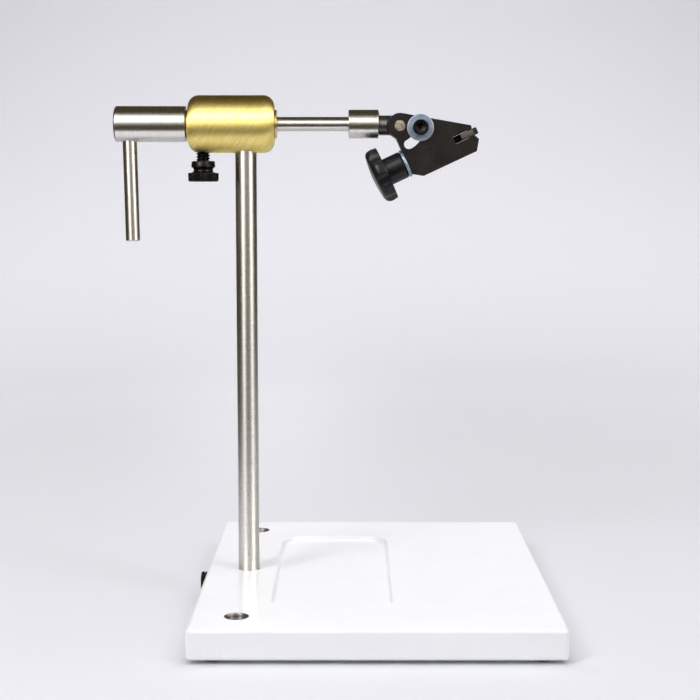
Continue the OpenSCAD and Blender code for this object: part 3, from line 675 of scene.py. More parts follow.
# Blackened nodes with a finish of their own; the draw rod's black is painted shade for the dark inside the
# cheeks' slot
OWN_LOOK_AND_PAINTED_SHADE = dict.fromkeys(("tension_screw", "tilt_screw", "base_thumb_screw", "cheek_screws", "draw_rod"),
                         "screw_black")
OWN_LOOK_AND_PAINTED_SHADE["tongue"] = "shank_black"


def coat(piece, *names):
    for name in names:
        piece.data.materials.append(MATERIALS[name])


def dress(piece, node, sharp=38):
    """Shades a finished piece and puts it in its CAD node's place, with its body and material."""
    piece.data.shade_smooth()
    piece.data.set_sharp_from_angle(angle=radians(sharp))
    normals = piece.modifiers.new("weighted_normals", "WEIGHTED_NORMAL")
    normals.keep_sharp = True
    normals.weight = 80
    if not piece.data.materials:
        coat(piece, OWN_LOOK_AND_PAINTED_SHADE.get(node, SLOT_OF[node]))
    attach(piece, BODY_OF[node])
    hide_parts(node)


# Base
def base_plate():
    half_w, half_d = PLATE_HALF.x, PLATE_HALF.y
    corner, edge = 2.4, 1.6
    tray_rim, tray_floor = 1.25, 1.2
    hole_rim, half_way, lining = 0.5, 4, 0.35
    top, hole_y = PLATE_HIGH.z, half_d - HOLE_INSET
    outline = box_points(-half_w, half_w, -half_d, half_d, corner, steps=6)
    levels = round_levels(PLATE_LOW.z, top, edge, edge, steps=5)
    plate = stack("plate", outline, levels, shift(PLATE_MID.x))
    tray_x = STEM.x + TRAY_OFFSET
    tray = box_points(tray_x, tray_x + TRAY_W, -TRAY_D / 2, TRAY_D / 2, TRAY_CORNER, steps=14)
    tray_levels = flare_levels(top - TRAY_DEPTH, top, tray_rim, low_round=tray_floor)
    cutters = [stack("cutter", tray, tray_levels, shift())]
    # Each accessory hole is cut from above and, upside down, from below
    for side in (-1, 1):
        above = shift(STEM.x, side * hole_y)
        under = shift(STEM.x, side * hole_y, 2 * PLATE_LOW.z + half_way) @ turn(180, "X")
        cutters += [rod_cutter(HOLE_R, PLATE_LOW.z + 1, top, above, flare=hole_rim),
                    rod_cutter(HOLE_R, -half_way, PLATE_LOW.z + half_way, under, flare=hole_rim)]
    cutters += [rod_cutter(STEM_R + 0.09, STEM_LOW.z, top, shift(STEM.x), flare=0.18),
                rod_cutter(2.5, -10, 0, leftwards(PLATE_LOW.x, BASE_SCREW_Z), flare=0.3)]
    cut(plate, *cutters)
    coat(plate, "white_coat", "bare_bore")
    for polygon in plate.data.polygons:
        spot = plate.matrix_world @ polygon.center / MM
        reach = min(hypot(spot.x - STEM.x, spot.y - side * hole_y) for side in (-1, 1))
        if reach < HOLE_R + lining and abs(polygon.normal.z) < 0.9:
            polygon.material_index = 1
    dress(plate, "base_plate")


def rubber_feet():
    low, high = box_mm("rubber_feet")
    r, t = 6.35, high.z
    profile = fillet([(0, 0.25), (3.2, 0.25, 0.5), (3.6, 0, 0.3), (r - 0.35, 0, 0.5), (r, t, 0.25), (0, t)])
    feet = [lathe("feet", profile, shift(x, y), segments=64)
            for x in (low.x + r, high.x - r) for y in (low.y + r, high.y - r)]
    dress(join(*feet), "rubber_feet")


def base_thumb_screw():
    low, high = box_mm("base_thumb_screw")
    r, rim, groove, collar = 4.75, 1.3, 0.6, 0.85
    face = PLATE_LOW.x - low.x
    seat = face - rim - groove - collar
    inner = high.x - PLATE_LOW.x
    profile = fillet([
        (0, -inner), (2.1, -inner, 0.2), (2.4, 0.6 - inner, 0.2), (2.4, seat), (r - 0.2, seat, 0.2),
        (r, seat + 0.25, 0.1), (r, seat + collar, 0.15), (r - groove, seat + collar + 0.1, 0.15),
        (r - groove, seat + collar + groove - 0.1, 0.15), (r, seat + collar + groove, 0.15),
        (r, face - 0.35, 0.2), (r - 0.55, face, 0.25), (2.6, face, 0.5), (2.2, face - 0.35, 0.3),
        (0, face - 0.35)], steps=3)
    teeth = knurl(30, 0.28, seat, face - 0.1)
    place = leftwards(PLATE_LOW.x, BASE_SCREW_Z)
    dress(lathe("base_screw", profile, place, teeth, segments=180), "base_thumb_screw", sharp=30)


def grub_cutter(x, z, radius, depth):
    """A set screw's hole, from the rear of a round piece towards its axis."""
    return rod_cutter(SET_SCREW_R + 0.05, depth - radius, 0, rearwards(x, radius, z), flare=HOLE_RIM)


# Stem and hub
def stem():
    length = STEM_HIGH.z - STEM_LOW.z
    profile = fillet([(0, 0), (STEM_R - 0.6, 0, 0.2), (STEM_R, 0.6, 0.3), (STEM_R, length - 0.6, 0.3),
                      (STEM_R - 0.6, length, 0.2), (0, length)])
    dress(lathe("stem_rod", profile, shift(STEM.x, 0, STEM_LOW.z), segments=128), "stem")


def hub():
    length = HUB_HIGH.x - HUB_LOW.x
    bore = BUSHING_R + SNUG
    profile = fillet([(bore, 0, 0.1), (HUB_R, 0, HUB_ROUND), (HUB_R, length, HUB_ROUND),
                      (bore, length, 0.1)], closed=True, steps=14)
    piece = lathe("hub_barrel", profile, along_x(HUB_LOW.x), segments=160, closed=True)
    bottom = AXIS_Z - HUB_R
    tension_hole, stem_depth = 3.15, 6
    screw_z = middle("stem_set_screw").z
    rear = sqrt(HUB_R ** 2 - (AXIS_Z - screw_z) ** 2)
    cut(piece,
        rod_cutter(tension_hole, -HUB_R / 2, 0, downwards(TENSION_X, bottom), flare=0.35),
        rod_cutter(STEM_R + SNUG, -stem_depth, 0, downwards(STEM.x, bottom), flare=0.12),
        grub_cutter(STEM.x, screw_z, rear, depth=0.5))
    dress(piece, "hub")


def bushing(name, node, place, length, flange):
    """A flanged bushing, whose local Z runs out of the hub."""
    bore, gap = SPINDLE_R + 0.05, 0.12
    profile = fillet([
        (bore, -length, 0.1), (BUSHING_R, -length, 0.2), (BUSHING_R, gap, 0.05),
        (FLANGE_R - 0.1, gap, 0.1), (FLANGE_R, 0.3, 0.1), (FLANGE_R, flange, 0.18),
        (bore, flange, 0.2)], closed=True, steps=3)
    dress(lathe(name, profile, place, closed=True), node)


def set_screw(name, node):
    """A socket set screw that runs along Y, with its socket to the rear."""
    low, high = box_mm(node)
    centre, length = (low + high) / 2, high.y - low.y
    r, flats, socket = SET_SCREW_R - 0.03, 1.98, 1.4
    profile = fillet([(0, 0), (r - 0.4, 0, 0.1), (r, 0.35, 0.1), (r, length - 0.3, 0.1), (r - 0.3, length)])
    profile = fine_steps(profile, 0.12) + socket_profile(flats, socket, length)
    ridges = thread(0.8, 0.25, 0.3, length - 0.3)
    place = rearwards(centre.x, low.y, centre.z)
    dress(lathe(name, profile, place, ridges, hexed(flats), segments=48), node, sharp=30)


def tension_screw():
    low, high = box_mm("tension_screw")
    r, pitch, ridge = 3.1, 1.27, 0.66
    head_r, shoulder_r, neck_r = 6.85, 5.35, 4.3
    shoulder_z, neck_z = 199.6, 194.4
    shoulder, neck_end, end = (high.z - z for z in (shoulder_z, neck_z, low.z))
    bare = high.z - (AXIS_Z - HUB_R)
    start = bare - 2 * pitch
    shaft = fillet([(0, 0), (2.3, 0), (r, 0.8)])
    shaft += fine_steps(fillet([(r, start), (r, shoulder)]), pitch / 9)
    grip = fillet([
        (shoulder_r - 0.3, shoulder), (shoulder_r, shoulder + 0.3, 0.15),
        (shoulder_r, shoulder + 2.55, 0.2), (neck_r, shoulder + 3.45, 0.8), (neck_r, neck_end - 0.55, 0.9),
        (head_r - 1.0, neck_end, 0.3), (head_r - 0.25, neck_end, 0.12), (head_r, neck_end + 0.25, 0.12),
        (head_r - 0.1, end - 0.5, 0.25), (head_r - 0.7, end, 0.3), (3.4, end, 0.6), (2.9, end - 0.4, 0.4),
        (0, end - 0.4)], steps=5)
    ridges = thread(pitch, ridge, start, shoulder + 0.8 * pitch)
    teeth = knurl(44, 0.24, neck_end + 0.15, end - 0.35)
    place = downwards(TENSION_X, high.z)
    piece = lathe("tension_knob", shaft + grip, place, ridges, teeth, segments=216)
    dress(piece, "tension_screw", sharp=30)


# Spindle, crank and collar
def spindle():
    low, high = box_mm("spindle")
    length = high.x - low.x
    groove = TENSION_X - low.x
    half, depth = 2.7, 0.4
    start, end = groove - half, groove + half
    profile = fillet([
        (0, 0), (SPINDLE_R, 0, 0.3), (SPINDLE_R, start), (SPINDLE_R - depth, start, 0.1),
        (SPINDLE_R - depth, end, 0.1), (SPINDLE_R, end), (SPINDLE_R, length, 0.3), (0, length)])
    dress(lathe("spindle_rod", profile, along_x(low.x)), "spindle")


def handle_place():
    lean = Matrix.Rotation(pi - HANDLE_LEAN, 4, "Y")
    return shift(CRANK_LOW.x + HANDLE_INSET, 0, AXIS_Z) @ lean


def crank_cylinder():
    length = CRANK_HIGH.x - CRANK_LOW.x
    bore, floor = SPINDLE_R + BORE_GAP, length - CRANK_SEAT
    profile = fillet([(0, 0), (CRANK_R, 0, 1.2), (CRANK_R, length, 0.25), (bore, length, 0.1),
                      (bore, floor), (0, floor)], steps=8)
    piece = lathe("crank_barrel", profile, along_x(CRANK_LOW.x), segments=128)
    handle = handle_place() @ shift(0, 0, CRANK_R)
    cut(piece,
        rod_cutter(SPINDLE_R + SNUG, 1 - CRANK_R, 0, handle, flare=HOLE_RIM),
        grub_cutter(middle("crank_set_screw").x, AXIS_Z, CRANK_R, depth=0.6))
    dress(piece, "crank_cylinder")


def crank_handle():
    end = HANDLE_LEN
    profile = fillet([(0, 0.9), (SPINDLE_R - 0.5, 0.9), (SPINDLE_R, 1.4, 0.3), (SPINDLE_R, end - 0.45, 0.35),
                      (SPINDLE_R - 0.5, end, 0.3), (0, end)])
    dress(lathe("crank_rod", profile, handle_place()), "crank_handle")


def collar():
    length = COLLAR_HIGH.x - COLLAR_LOW.x
    bore, body = SPINDLE_R + BORE_GAP, length - COLLAR_DOME
    profile = fillet([
        (bore, 0, 0.1), (COLLAR_R - 0.25, 0, 0.15), (COLLAR_R, 0.25, 0.2), (COLLAR_R, body + 0.2, 0.2),
        (COLLAR_R - 0.4, body + 0.5, 0.3), (COLLAR_R - 1.5, length, 0.6), (bore, length, 0.1)],
        closed=True, steps=5)
    piece = lathe("collar_barrel", profile, along_x(COLLAR_LOW.x), segments=128, closed=True)
    cut(piece, grub_cutter(middle("collar_set_screw").x, AXIS_Z, COLLAR_R, depth=0.5))
    dress(piece, "collar")


# Head
def tongue():
    """The round shank, hollowed where the head's end turns in it, and the blade between the cheeks."""
    r, drop, tip = 4.375, 0.57, 3.4
    start = COLLAR_HIGH.x + 0.05
    length = PIVOT.x - start
    stub = SPINDLE_R - drop / 2
    stub_len = start - box_mm("tongue")[0].x
    profile = fillet([(0, -stub_len), (stub, -stub_len), (stub, 0), (r, 0, 0.2), (r, length), (0, length)])
    shank = lathe("tongue_bar", profile, along_x(start, AXIS_Z - drop))
    hollow, side_y = HEAD_ROUND + 0.3, BLADE_HALF + 0.05
    cut(shank,
        rod_cutter(hollow, 0, 8, frontwards(PIVOT.x, -side_y, PIVOT.z)),
        rod_cutter(hollow, 0, 8, rearwards(PIVOT.x, side_y, PIVOT.z)))
    # The blade narrows from the shank's width to a round tip at the tilt screw
    at = Vector((TILT_AXIS.x - PIVOT.x, TILT_AXIS.z - PIVOT.z))
    line = atan2(at.y, at.x)
    taper = acos((r - tip) / at.length)
    heel, lift = -4.4, 0.85
    outline = [at + polar(tip, line + taper * (k / 12 - 1)) for k in range(25)]
    outline += [polar(r, line + taper), Vector((heel, lift + r - drop)), Vector((heel, lift - r - drop)),
                polar(r, line - taper)]
    place = shift(PIVOT.x, 0, PIVOT.z) @ turn(90, "X")
    blade = stack("blade", outline, round_levels(-BLADE_HALF, BLADE_HALF, 0.15, 0.15, steps=2), place)
    dress(join(shank, blade), "tongue")


def pivot_pin():
    r, half = 2.38, 5.05
    profile = fillet([(0, -half), (r, -half, 0.22), (r, half, 0.22), (0, half)], steps=5)
    dress(lathe("pin", profile, frontwards(PIVOT.x, 0, PIVOT.z), segments=64), "pivot_pin")


def washer(name, node, inner, outer, thickness, place):
    profile = fillet([(inner, 0, 0.1), (outer, 0, 0.3), (outer, thickness, 0.3), (inner, thickness, 0.2)],
                     closed=True, steps=4)
    dress(lathe(name, profile, place, closed=True), node)


def tilt_screw():
    """A socket head cap screw: local Z runs to the front, from the rear end of its thread."""
    low, high = box_mm("tilt_screw")
    length, seat = high.y - low.y, high.y + HEAD_HALF + TILT_WASHER
    r, head_r, flats, socket, threaded = 2.05, 3.43, 3.57, 2.2, 5
    shaft = fine_steps(fillet([(r - 0.3, 0), (r, 0.3), (r, threaded)]), 0.09)
    body = fillet([
        (r, seat - 0.3), (r, seat), (head_r - 0.1, seat, 0.08), (head_r, seat + 0.25, 0.1),
        (head_r, length - 0.5, 0.12), (head_r - 0.35, length, 0.15), (3.0, length)], steps=3)
    profile = [Vector((0, 0))] + shaft + body + socket_profile(flats, socket, length)
    teeth = knurl(36, 0.10, seat + 0.3, length - 0.55)
    ridges = thread(0.7, 0.36, 0, threaded)
    place = frontwards(TILT_AXIS.x, high.y, TILT_AXIS.z)
    piece = lathe("tilt_bolt", profile, place, ridges, teeth, hexed(flats), segments=144)
    dress(piece, "tilt_screw", sharp=30)


def cheek_outline():
    """The cheeks' outline in the head's plane, anticlockwise from the heel."""
    slot_low, slot_high = -ROD_DROP - SLOT_HALF, -ROD_DROP + SLOT_HALF
    brow = Vector((28.4, -13.0))
    rise = atan2(brow.y, brow.x) + acos(HEAD_ROUND / brow.length)
    flat = TAU - acos(-HEAD_BACK / HEAD_ROUND)
    crown = [polar(HEAD_ROUND, rise + (flat - rise) * k / 40) for k in range(41)]
    neck = Vector((-HEAD_BACK, crown[-1].y - 0.5))
    lower = fillet([
        (-HEAD_BACK, -10), (-HEAD_BACK, 2.9 - HEAD_DEPTH, 0.3), (4.3 - HEAD_BACK, -HEAD_DEPTH, 0.4),
        (26.1, -HEAD_DEPTH, 0.4), (29.2, -19.95, 0.3), (JAW_REACH, slot_low, 0.2),
        (JAW_REACH, slot_high, 0.1), (brow.x, brow.y, 0.25), (crown[0].x, crown[0].y)], steps=3)
    return lower[1:-1] + crown[:-2] + [neck]


def arc_slot_outline():
    """The slot for the tilt screw, a band about the pivot with round ends."""
    top, low = radians(9.5 - 30.2), radians(-30.2 - 59.3)
    points = [polar(ARC_R + ARC_HALF, low + (top - low) * k / 24) for k in range(25)]
    points += [polar(ARC_R, top) + polar(ARC_HALF, top + pi * k / 12) for k in range(1, 12)]
    points += [polar(ARC_R - ARC_HALF, top + (low - top) * k / 24) for k in range(25)]
    points += [polar(ARC_R, low) + polar(ARC_HALF, low + pi * (1 + k / 12)) for k in range(1, 12)]
    return points


def cheek(name, node, side):
    """One cheek: side is 1 for the front and -1 for the rear. Local Z runs outwards from the slit."""
    out = head() @ turn(90, "X") @ Matrix.Diagonal((1, 1, side, 1))
    piece = stack(name, cheek_outline(), round_levels(0, HEAD_HALF, 0.02, 0.22, steps=3), out)
    v_mid = -ROD_DROP
    flip = Matrix.Diagonal((1, -side, 1, 1))
    arm_floor, turning_r, pin_hole, rod_hole, bolt_hole = 3.4, 13.0, 2.43, 1.62, 2.4
    slot = box_points(SLOT_BACK, WINDOW_FRONT, v_mid - SLOT_HALF, v_mid + SLOT_HALF, 0.15, steps=2)
    groove = box_points(WINDOW_FRONT - 1, JAW_REACH + 4, v_mid - SLOT_HALF, v_mid + SLOT_HALF)
    pocket = circle_points(turning_r, 96)
    cutters = [
        stack("cutter", arc_slot_outline(), flare_levels(-OVERRUN, HEAD_HALF, 0.2), out),
        stack("cutter", pocket, [(-OVERRUN, 0), (BLADE_HALF + 0.05, 0)], out),
        rod_cutter(pin_hole, -OVERRUN, HEAD_HALF, out, flare=0.12),
        stack("cutter", slot, flare_levels(-OVERRUN, HEAD_HALF, 0.15), out),
        stack("cutter", groove, [(arm_floor, 0), (HEAD_HALF + OVERRUN, 0)], out),
        stack("cutter", box_points(18.2, 31, -30, 1), [(-OVERRUN, 0), (SLIT_HALF, 0)], out),
        rod_cutter(rod_hole, -20, 40, rod(-HEAD_BACK)),
    ]
    # The bevel at the end of the groove's floor
    corner = fillet([(27.2, 3.45), (30.7, -0.05), (30.7, 3.45)])
    bevel_levels = [(-SLOT_HALF, 0), (SLOT_HALF, 0)]
    cutters.append(stack("cutter", corner, bevel_levels, head(0, 0, v_mid) @ flip))
    if side < 0:
        cutters += [rod_cutter(bolt_hole, 2.4, HEAD_HALF, out @ shift(u, v), flare=HOLE_RIM)
                    for u, v in CHEEK_SCREWS]
    cut(piece, *cutters)
    dress(piece, node, sharp=35)


def cheek_screws():
    r, head_r, head_len, flats, socket, length = 1.4, 2.3, 2.4, 2.4, 1.2, 8.6
    top = HEAD_HALF - 0.2
    low, seat = top - length, top - head_len
    profile = fillet([(0, low), (r, low, 0.2), (r, seat), (head_r, seat, 0.1),
                      (head_r, top, 0.25), (1.75, top)], steps=4) + socket_profile(flats, socket, top)
    parts = [lathe("clamp_bolts", profile, head(u, 0, v) @ turn(-90, "X"), hexed(flats))
             for u, v in CHEEK_SCREWS]
    dress(join(*parts), "cheek_screws", sharp=30)


def dome_points(reach, base, rise, steps=14):
    """A shallow dome from radius reach at height base to its top on the axis."""
    radius = (reach ** 2 + rise ** 2) / (2 * rise)
    radii = [reach * (1 - k / steps) for k in range(steps + 1)]
    return [Vector((r, base + rise - radius + sqrt(radius ** 2 - r ** 2))) for r in radii]


def jaw_knob():
    """The lobed knob: a neck, then a head with finger flutes."""
    neck_r, neck, face_r, widest, wide_at = 6.1, 8.4, 12.2, 12.5, 11.3
    end, rim, dome = 15.35, 3.2, 0.85
    bore, rod_bore, rod_depth = 3.56, 1.9, 4
    flutes, flute_r, flute_depth, fluted_r, soft = 7, 6.0, 1.15, 6.5, 0.35
    far = widest + flute_r - flute_depth
    start = fillet([(bore, 0), (neck_r - 0.6, 0, 0.15), (neck_r, 0.6, 0.15), (neck_r, neck, 0.3),
                    (face_r, neck, 0.6), (widest, wide_at - 0.4, 2.0), (widest, wide_at)], steps=5)
    round_rim = [Vector((widest - rim + rim * cos(a), wide_at + rim * sin(a)))
                 for a in (radians(9 * k) for k in range(1, 10))]
    profile = fine_steps(start + round_rim + dome_points(widest - rim, end - dome, dome), 0.45)
    floor = neck + rod_depth
    inner = fillet([(0, floor), (rod_bore, floor), (rod_bore, neck), (bore, neck)])

    def lobes(angle, radius, height):
        """Rings of the head follow the flutes, with a soft blend where a flute meets the rim."""
        if height < neck + 0.05 or radius < fluted_r:
            return radius
        delta = (angle + pi / flutes) % (TAU / flutes) - pi / flutes
        reach = flute_r ** 2 - (far * sin(delta)) ** 2
        if reach <= 0:
            return radius
        flute = far * cos(delta) - sqrt(reach)
        h = max(0.0, min(1.0, 0.5 + (flute - radius) / (2 * soft)))
        return flute * (1 - h) + radius * h - soft * h * (1 - h)

    place = rod(-KNOB_SEAT, backwards=True)
    dress(lathe("lobed_knob", inner + profile, place, lobes, segments=196), "jaw_knob", sharp=50)


def draw_rod():
    r, stub_r, tail = 1.575, 0.88, 8.5
    low, high, end = -KNOB_SEAT - tail, FORK_BACK, FORK_BACK + FORK_BRIDGE - 0.1
    profile = fillet([(0, low), (r, low, 0.3), (r, high), (stub_r, high), (stub_r, end, 0.2), (0, end)])
    dress(lathe("pull_rod", profile, rod(0), segments=48), "draw_rod")


def jaw_fork():
    """The sliding jaw: two arms joined by a bridge, with lips that close over the lower jaws."""
    middle_place = head(0, 0, -ROD_DROP)
    half_h, inner, outer, lip_in, slope = 1.55, 3.45, 4.9, 2.0, 31.1
    nose = FORK_BACK + FORK_LEN
    arm = fillet([
        (FORK_BACK, inner), (slope - inner, inner), (slope - lip_in, lip_in, 0.1), (nose, lip_in, 0.15),
        (nose, outer, 0.5), (FORK_BRIGHT, outer), (FORK_BACK, outer)], closed=True, steps=4)
    bar = box_points(FORK_BACK, FORK_BACK + FORK_BRIDGE, -inner - 0.6, inner + 0.6)
    arm_levels, bar_levels = (round_levels(-half_h, half_h, edge, edge, steps=2) for edge in (0.4, 0.2))
    parts = [stack("fork", arm, arm_levels, middle_place @ Matrix.Diagonal((1, side, 1, 1)))
             for side in (-1, 1)]
    parts.append(stack("fork", bar, bar_levels, middle_place))
    fork = join(*parts)
    # All but the outer sides stay black oxide; the dark bevels paint the shade in the gaps of the cheeks'
    # slot
    coat(fork, "black_oxide", "fork_steel")
    # The arms' outer sides are ground bright up to the nose
    for polygon in fork.data.polygons:
        outer_side = abs(polygon.normal.y) > 0.95 and abs(polygon.center.y) > (outer - 0.02) * MM
        if outer_side and polygon.center.x < FORK_BRIGHT * MM:
            polygon.material_index = 1
    dress(fork, "jaw_fork", sharp=28)


base_plate()
rubber_feet()
base_thumb_screw()
stem()
hub()
bushing("left_sleeve", "left_bushing", along_x(HUB_LOW.x) @ turn(180, "X"), length=2.9, flange=0.8)
bushing("right_sleeve", "right_bushing", along_x(HUB_HIGH.x), length=7.9, flange=1.1)
for held in ("stem", "crank", "collar"):
    set_screw(held + "_grub", held + "_set_screw")
tension_screw()
spindle()
crank_cylinder()
crank_handle()
collar()
tongue()
pivot_pin()
washer("tilt_ring", "tilt_washer", inner=2.1, outer=5.9, thickness=TILT_WASHER,
       place=frontwards(TILT_AXIS.x, -HEAD_HALF, TILT_AXIS.z))
tilt_screw()
cheek("near_cheek", "front_cheek", 1)
cheek("far_cheek", "rear_cheek", -1)
cheek_screws()
washer("knob_ring", "knob_washer", inner=1.7, outer=6.3, thickness=KNOB_WASHER,
       place=rod(-HEAD_BACK - KNOB_WASHER))
jaw_knob()
draw_rod()
jaw_fork()
# Nodes that no side shows keep their CAD shape
for node in ("tension_tip", "cheek_dowels", "knob_insert"):
    shown = frame["nodes"][node]
    shown.data.materials.clear()
    coat(shown, SLOT_OF[node])


# The camera's place in millimetres, its lens and the photo's width in pixels, its tilt and its shift
EYE_ASIDE, EYE_BACK, EYE_HEIGHT = 46.8, 665.1, 188.85
LENS_PX, PHOTO_PX = 1483.0, 700.0
EYE_TILT, EYE_SHIFT = 0.1105, -0.0018

# Colours of the stage, and of what the camera would see past the paper
PAPER = (0.690, 0.693, 0.722)
GLOW_TINT = (0.955, 0.95, 1.03)
LIGHT_TINT = (0.968, 0.98, 1.01)
SOFTBOX_TINT = (1.0, 0.98, 0.93)
ROOM_DARK = (0.090, 0.072, 0.044)
ROOM_SEEN = (0.72, 0.72, 0.76)
# The world's three glows: azimuth and strength, their highest level, and their centre's elevation
# and spread in degrees
GLOWS = ((-34, 16.5), (11, 1.8), (57, 16.5))
GLOW_MOST = 25
GLOW_RISE, GLOW_WIDTH, GLOW_HEIGHT = 28, 12, 13

# The paper's bowl and, in metres, the stretch of it that metals reflect, with its soft borders
BOWL_FLAT, BOWL_CURVE, BOWL_HEIGHT = 800, 850, 950
SHEET_LEFT, SHEET_RIGHT, SHEET_FRONT = -0.32, 0.50, -0.21
SIDE_SOFT, FRONT_SOFT = 0.04, 0.01
# The sheet's painted glow in reflections, dimmer from beside the plate to the wall as a painted shade
SHEET_GLOSS, REAR_SHADE = 0.64, 0.20
SHADE_FROM, WALL_FROM = (-0.05, 0.06), (0.55, 0.80)
# The glow at each rise of the sight line over the bowl, from the near floor to the top of the wall
GLOW = ((-0.36, 0.13), (-0.30, 0.125), (-0.243, 0.095), (-0.187, 0.115), (-0.159, 0.17), (-0.132, 0.27),
        (-0.077, 0.38), (-0.037, 0.415), (0.043, 0.39), (0.12, 0.345))
# The glow's fade towards the sides, a painted shade on the wall: strength, the rise where it starts and is
# full, and two bounds for sight lines from elsewhere than the camera's side
FADE, FADE_RISE = 5.0, (-0.12, 0.11)
LEAST_REACH, MOST_FADE = 0.45, 0.35
# The painted pool of light behind the stem: centre and spread across the frame and in rise, and its level
POOL_ASIDE, POOL_RISE, POOL_LEVEL = (-0.048, 0.075), (-0.160, 0.055), 0.100
# How far from the plate the glow starts and is full, in metres
SHADOW_EDGE = (-0.002, 0.012)


def glow_curve(m, rise):
    """The paper's own glow, which evens out its brightness from the floor up to the top."""
    curve = m.add("FloatCurve")
    low, high = GLOW[0][0], GLOW[-1][0]
    points = curve.mapping.curves[0].points
    for i, (at, level) in enumerate(GLOW):
        place = ((at - low) / (high - low), level)
        if 0 < i < len(GLOW) - 1:
            points.new(*place)
        else:
            points[0 if i == 0 else -1].location = place
    curve.mapping.update()
    m.link(m.range(rise, 0.0, 1.0, low, high), curve.inputs["Value"])
    return curve.outputs["Value"]


def seamless_paper():
    """Pale paper. Reflections see it only near the vise and behind it, where the real sheet lies."""
    m = Nodes("seamless_paper", Base_Color=PAPER, Roughness=0.9, Specular_IOR_Level=0.0)
    path = m.add("LightPath").outputs
    x, y, z = m.split(m.coords)
    left = m.range(x, 0.0, 1.0, SHEET_LEFT - SIDE_SOFT, SHEET_LEFT + SIDE_SOFT)
    right = m.range(x, 1.0, 0.0, SHEET_RIGHT - SIDE_SOFT, SHEET_RIGHT + SIDE_SOFT)
    front = m.range(y, 0.0, 1.0, SHEET_FRONT - FRONT_SOFT, SHEET_FRONT + FRONT_SOFT)
    sheet = m.times(m.times(left, right), front)
    both = m.add("MixShader")
    m.link(m.times(m.minus(1.0, sheet), path["Is Glossy Ray"]), both.inputs[0])
    m.link(m.shader.outputs[0], both.inputs[1])
    m.link(m.add("BsdfTransparent").outputs[0], both.inputs[2])
    m.link(both.outputs[0], m.tree.nodes["Material Output"].inputs["Surface"])
    ground = m.math("SQRT", m.squares(x, y))
    rise = m.over(m.minus(z, EYE_HEIGHT * MM), m.plus(ground, EYE_BACK * MM))
    # Painted shade darkens the wall towards the sides, and a painted pool of light brightens the floor
    # behind the stem
    aside = m.over(x, m.math("MAXIMUM", m.plus(y, EYE_BACK * MM), LEAST_REACH))
    fade = m.times(m.times(aside, aside), m.range(rise, 0.0, FADE, *FADE_RISE))
    even = m.times(glow_curve(m, rise), m.minus(1.0, m.math("MINIMUM", fade, MOST_FADE)))
    pool_x = m.over(m.minus(aside, POOL_ASIDE[0]), POOL_ASIDE[1])
    pool_y = m.over(m.minus(rise, POOL_RISE[0]), POOL_RISE[1])
    pool = m.times(m.math("EXPONENT", m.times(m.squares(pool_x, pool_y), -1.0)), POOL_LEVEL)
    # Beside the plate only the lamps light the floor, so its shadow stays dark
    beside = m.minus(m.math("ABSOLUTE", m.minus(x, PLATE_MID.x * MM)), PLATE_HALF.x * MM)
    before = m.minus(m.math("ABSOLUTE", y), PLATE_HALF.y * MM)
    clear_of = m.range(m.math("MAXIMUM", beside, before), 0.0, 1.0, *SHADOW_EDGE)
    shown = m.times(m.times(m.plus(even, pool), clear_of), path["Is Camera Ray"])
    # In reflections the paper glows, a painted light, which is dimmer beside and behind the plate than at
    # the near part and the wall, a painted shade
    dim = m.math("MAXIMUM", m.range(y, 1.0, REAR_SHADE, *SHADE_FROM), m.range(y, 0.0, 1.0, *WALL_FROM))
    lit = m.times(m.times(path["Is Glossy Ray"], SHEET_GLOSS), dim)
    m.set(Emission_Color=GLOW_TINT, Emission_Strength=m.plus(shown, lit))


def stage_bowl():
    profile = fillet([(0, 0), (BOWL_FLAT / 2, 0)])
    for a in quarter(24):
        profile.append(Vector((BOWL_FLAT + BOWL_CURVE * sin(a), BOWL_CURVE * (1 - cos(a)))))
    profile.append(Vector((BOWL_FLAT + BOWL_CURVE, BOWL_HEIGHT)))
    bowl = lathe("bowl", profile, shift(), segments=128)
    bowl.data.shade_smooth()
    seamless_paper()
    coat(bowl, "seamless_paper")


def soft_box(name, azimuth, elevation, distance, width, height, radiance):
    """A panel that lights matt surfaces. Azimuth 0 is the front, positive to the right."""
    aim = Vector((0.0, 0.0, 0.15))
    a, e = radians(azimuth), radians(elevation)
    away = Vector((sin(a) * cos(e), -cos(a) * cos(e), sin(e)))
    lamp = bpy.data.lights.new(name, "AREA")
    lamp.shape = "RECTANGLE"
    lamp.size, lamp.size_y = width, height
    lamp.energy = radiance * pi * width * height
    lamp.color = LIGHT_TINT
    holder = add_object(name, lamp)
    holder.location = aim + away * distance
    holder.rotation_euler = away.to_track_quat("Z", "Y").to_euler()
    holder.visible_camera = holder.visible_glossy = False


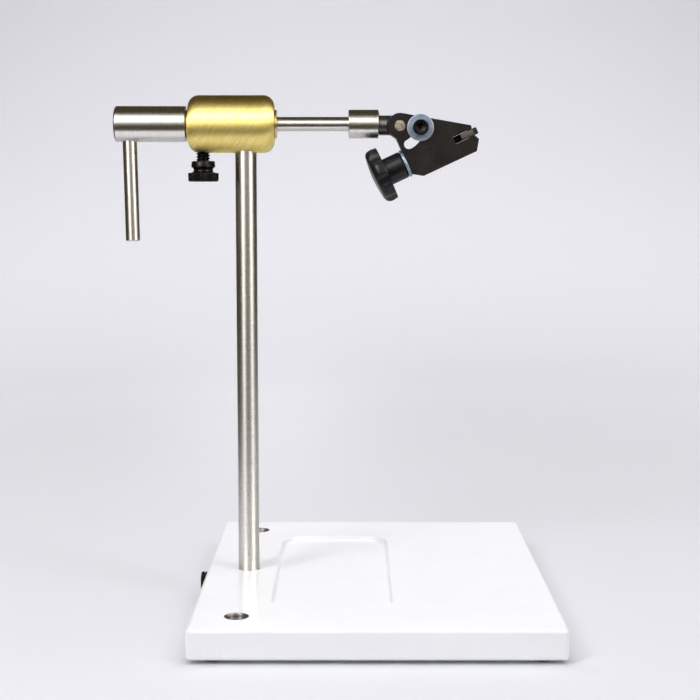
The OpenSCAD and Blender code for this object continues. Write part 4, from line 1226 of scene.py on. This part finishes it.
def world():
    """A warm dark room with three soft glows, for metal to reflect beyond the sheet."""
    room = bpy.data.worlds.new("room")
    bpy.context.scene.world = room
    room.use_nodes = True
    w = Tree(room.node_tree)
    x, y, z = w.split(w.add("TexCoord").outputs["Generated"])
    azimuth = w.math("ARCTAN2", x, w.times(y, -1.0))
    elevation = w.math("ARCSINE", z)
    rise = w.over(w.minus(elevation, radians(GLOW_RISE)), radians(GLOW_HEIGHT))
    level = 0.0
    for at, strength in GLOWS:
        off = w.over(w.minus(azimuth, radians(at)), radians(GLOW_WIDTH))
        glow = w.times(w.math("EXPONENT", w.times(w.squares(off, rise), -0.5)), strength)
        level = w.plus(level, glow)
    # Up to level 1 the room turns into the softboxes' tint, and above it their light goes on rising
    tinted = w.mix(w.math("MINIMUM", level, 1.0), ROOM_DARK, SOFTBOX_TINT)
    most = tuple(GLOW_MOST * c for c in SOFTBOX_TINT)
    bright = w.mix(w.math("MINIMUM", w.over(level, GLOW_MOST), 1.0), (0, 0, 0), most)
    reflected = w.mix(1.0, tinted, bright, blend_type="LIGHTEN")
    path = w.add("LightPath").outputs
    light = w.mix(path["Is Glossy Ray"], ROOM_DARK, reflected)
    shown = w.mix(path["Is Camera Ray"], light, ROOM_SEEN)
    w.link(shown, room.node_tree.nodes["Background"].inputs["Color"])


def camera():
    data = bpy.data.cameras.new("camera")
    data.lens = LENS_PX / PHOTO_PX * data.sensor_width
    data.shift_x = EYE_SHIFT
    data.clip_start, data.clip_end = 0.01, 20
    holder = add_object("camera", data)
    holder.location = Vector((STEM.x + EYE_ASIDE, -EYE_BACK, EYE_HEIGHT)) * MM
    holder.rotation_euler = (pi / 2 - EYE_TILT, 0, 0)
    bpy.context.scene.camera = holder


stage_bowl()
soft_box("key", -41, 34, 1.15, 0.36, 0.52, radiance=8.9)
soft_box("fill", 54, 34, 1.15, 0.36, 0.52, radiance=5.2)
soft_box("overhead", 0, 89, 1.30, 1.5, 1.1, radiance=2.95)
world()
camera()
bpy.context.scene.view_settings.view_transform = "Standard"
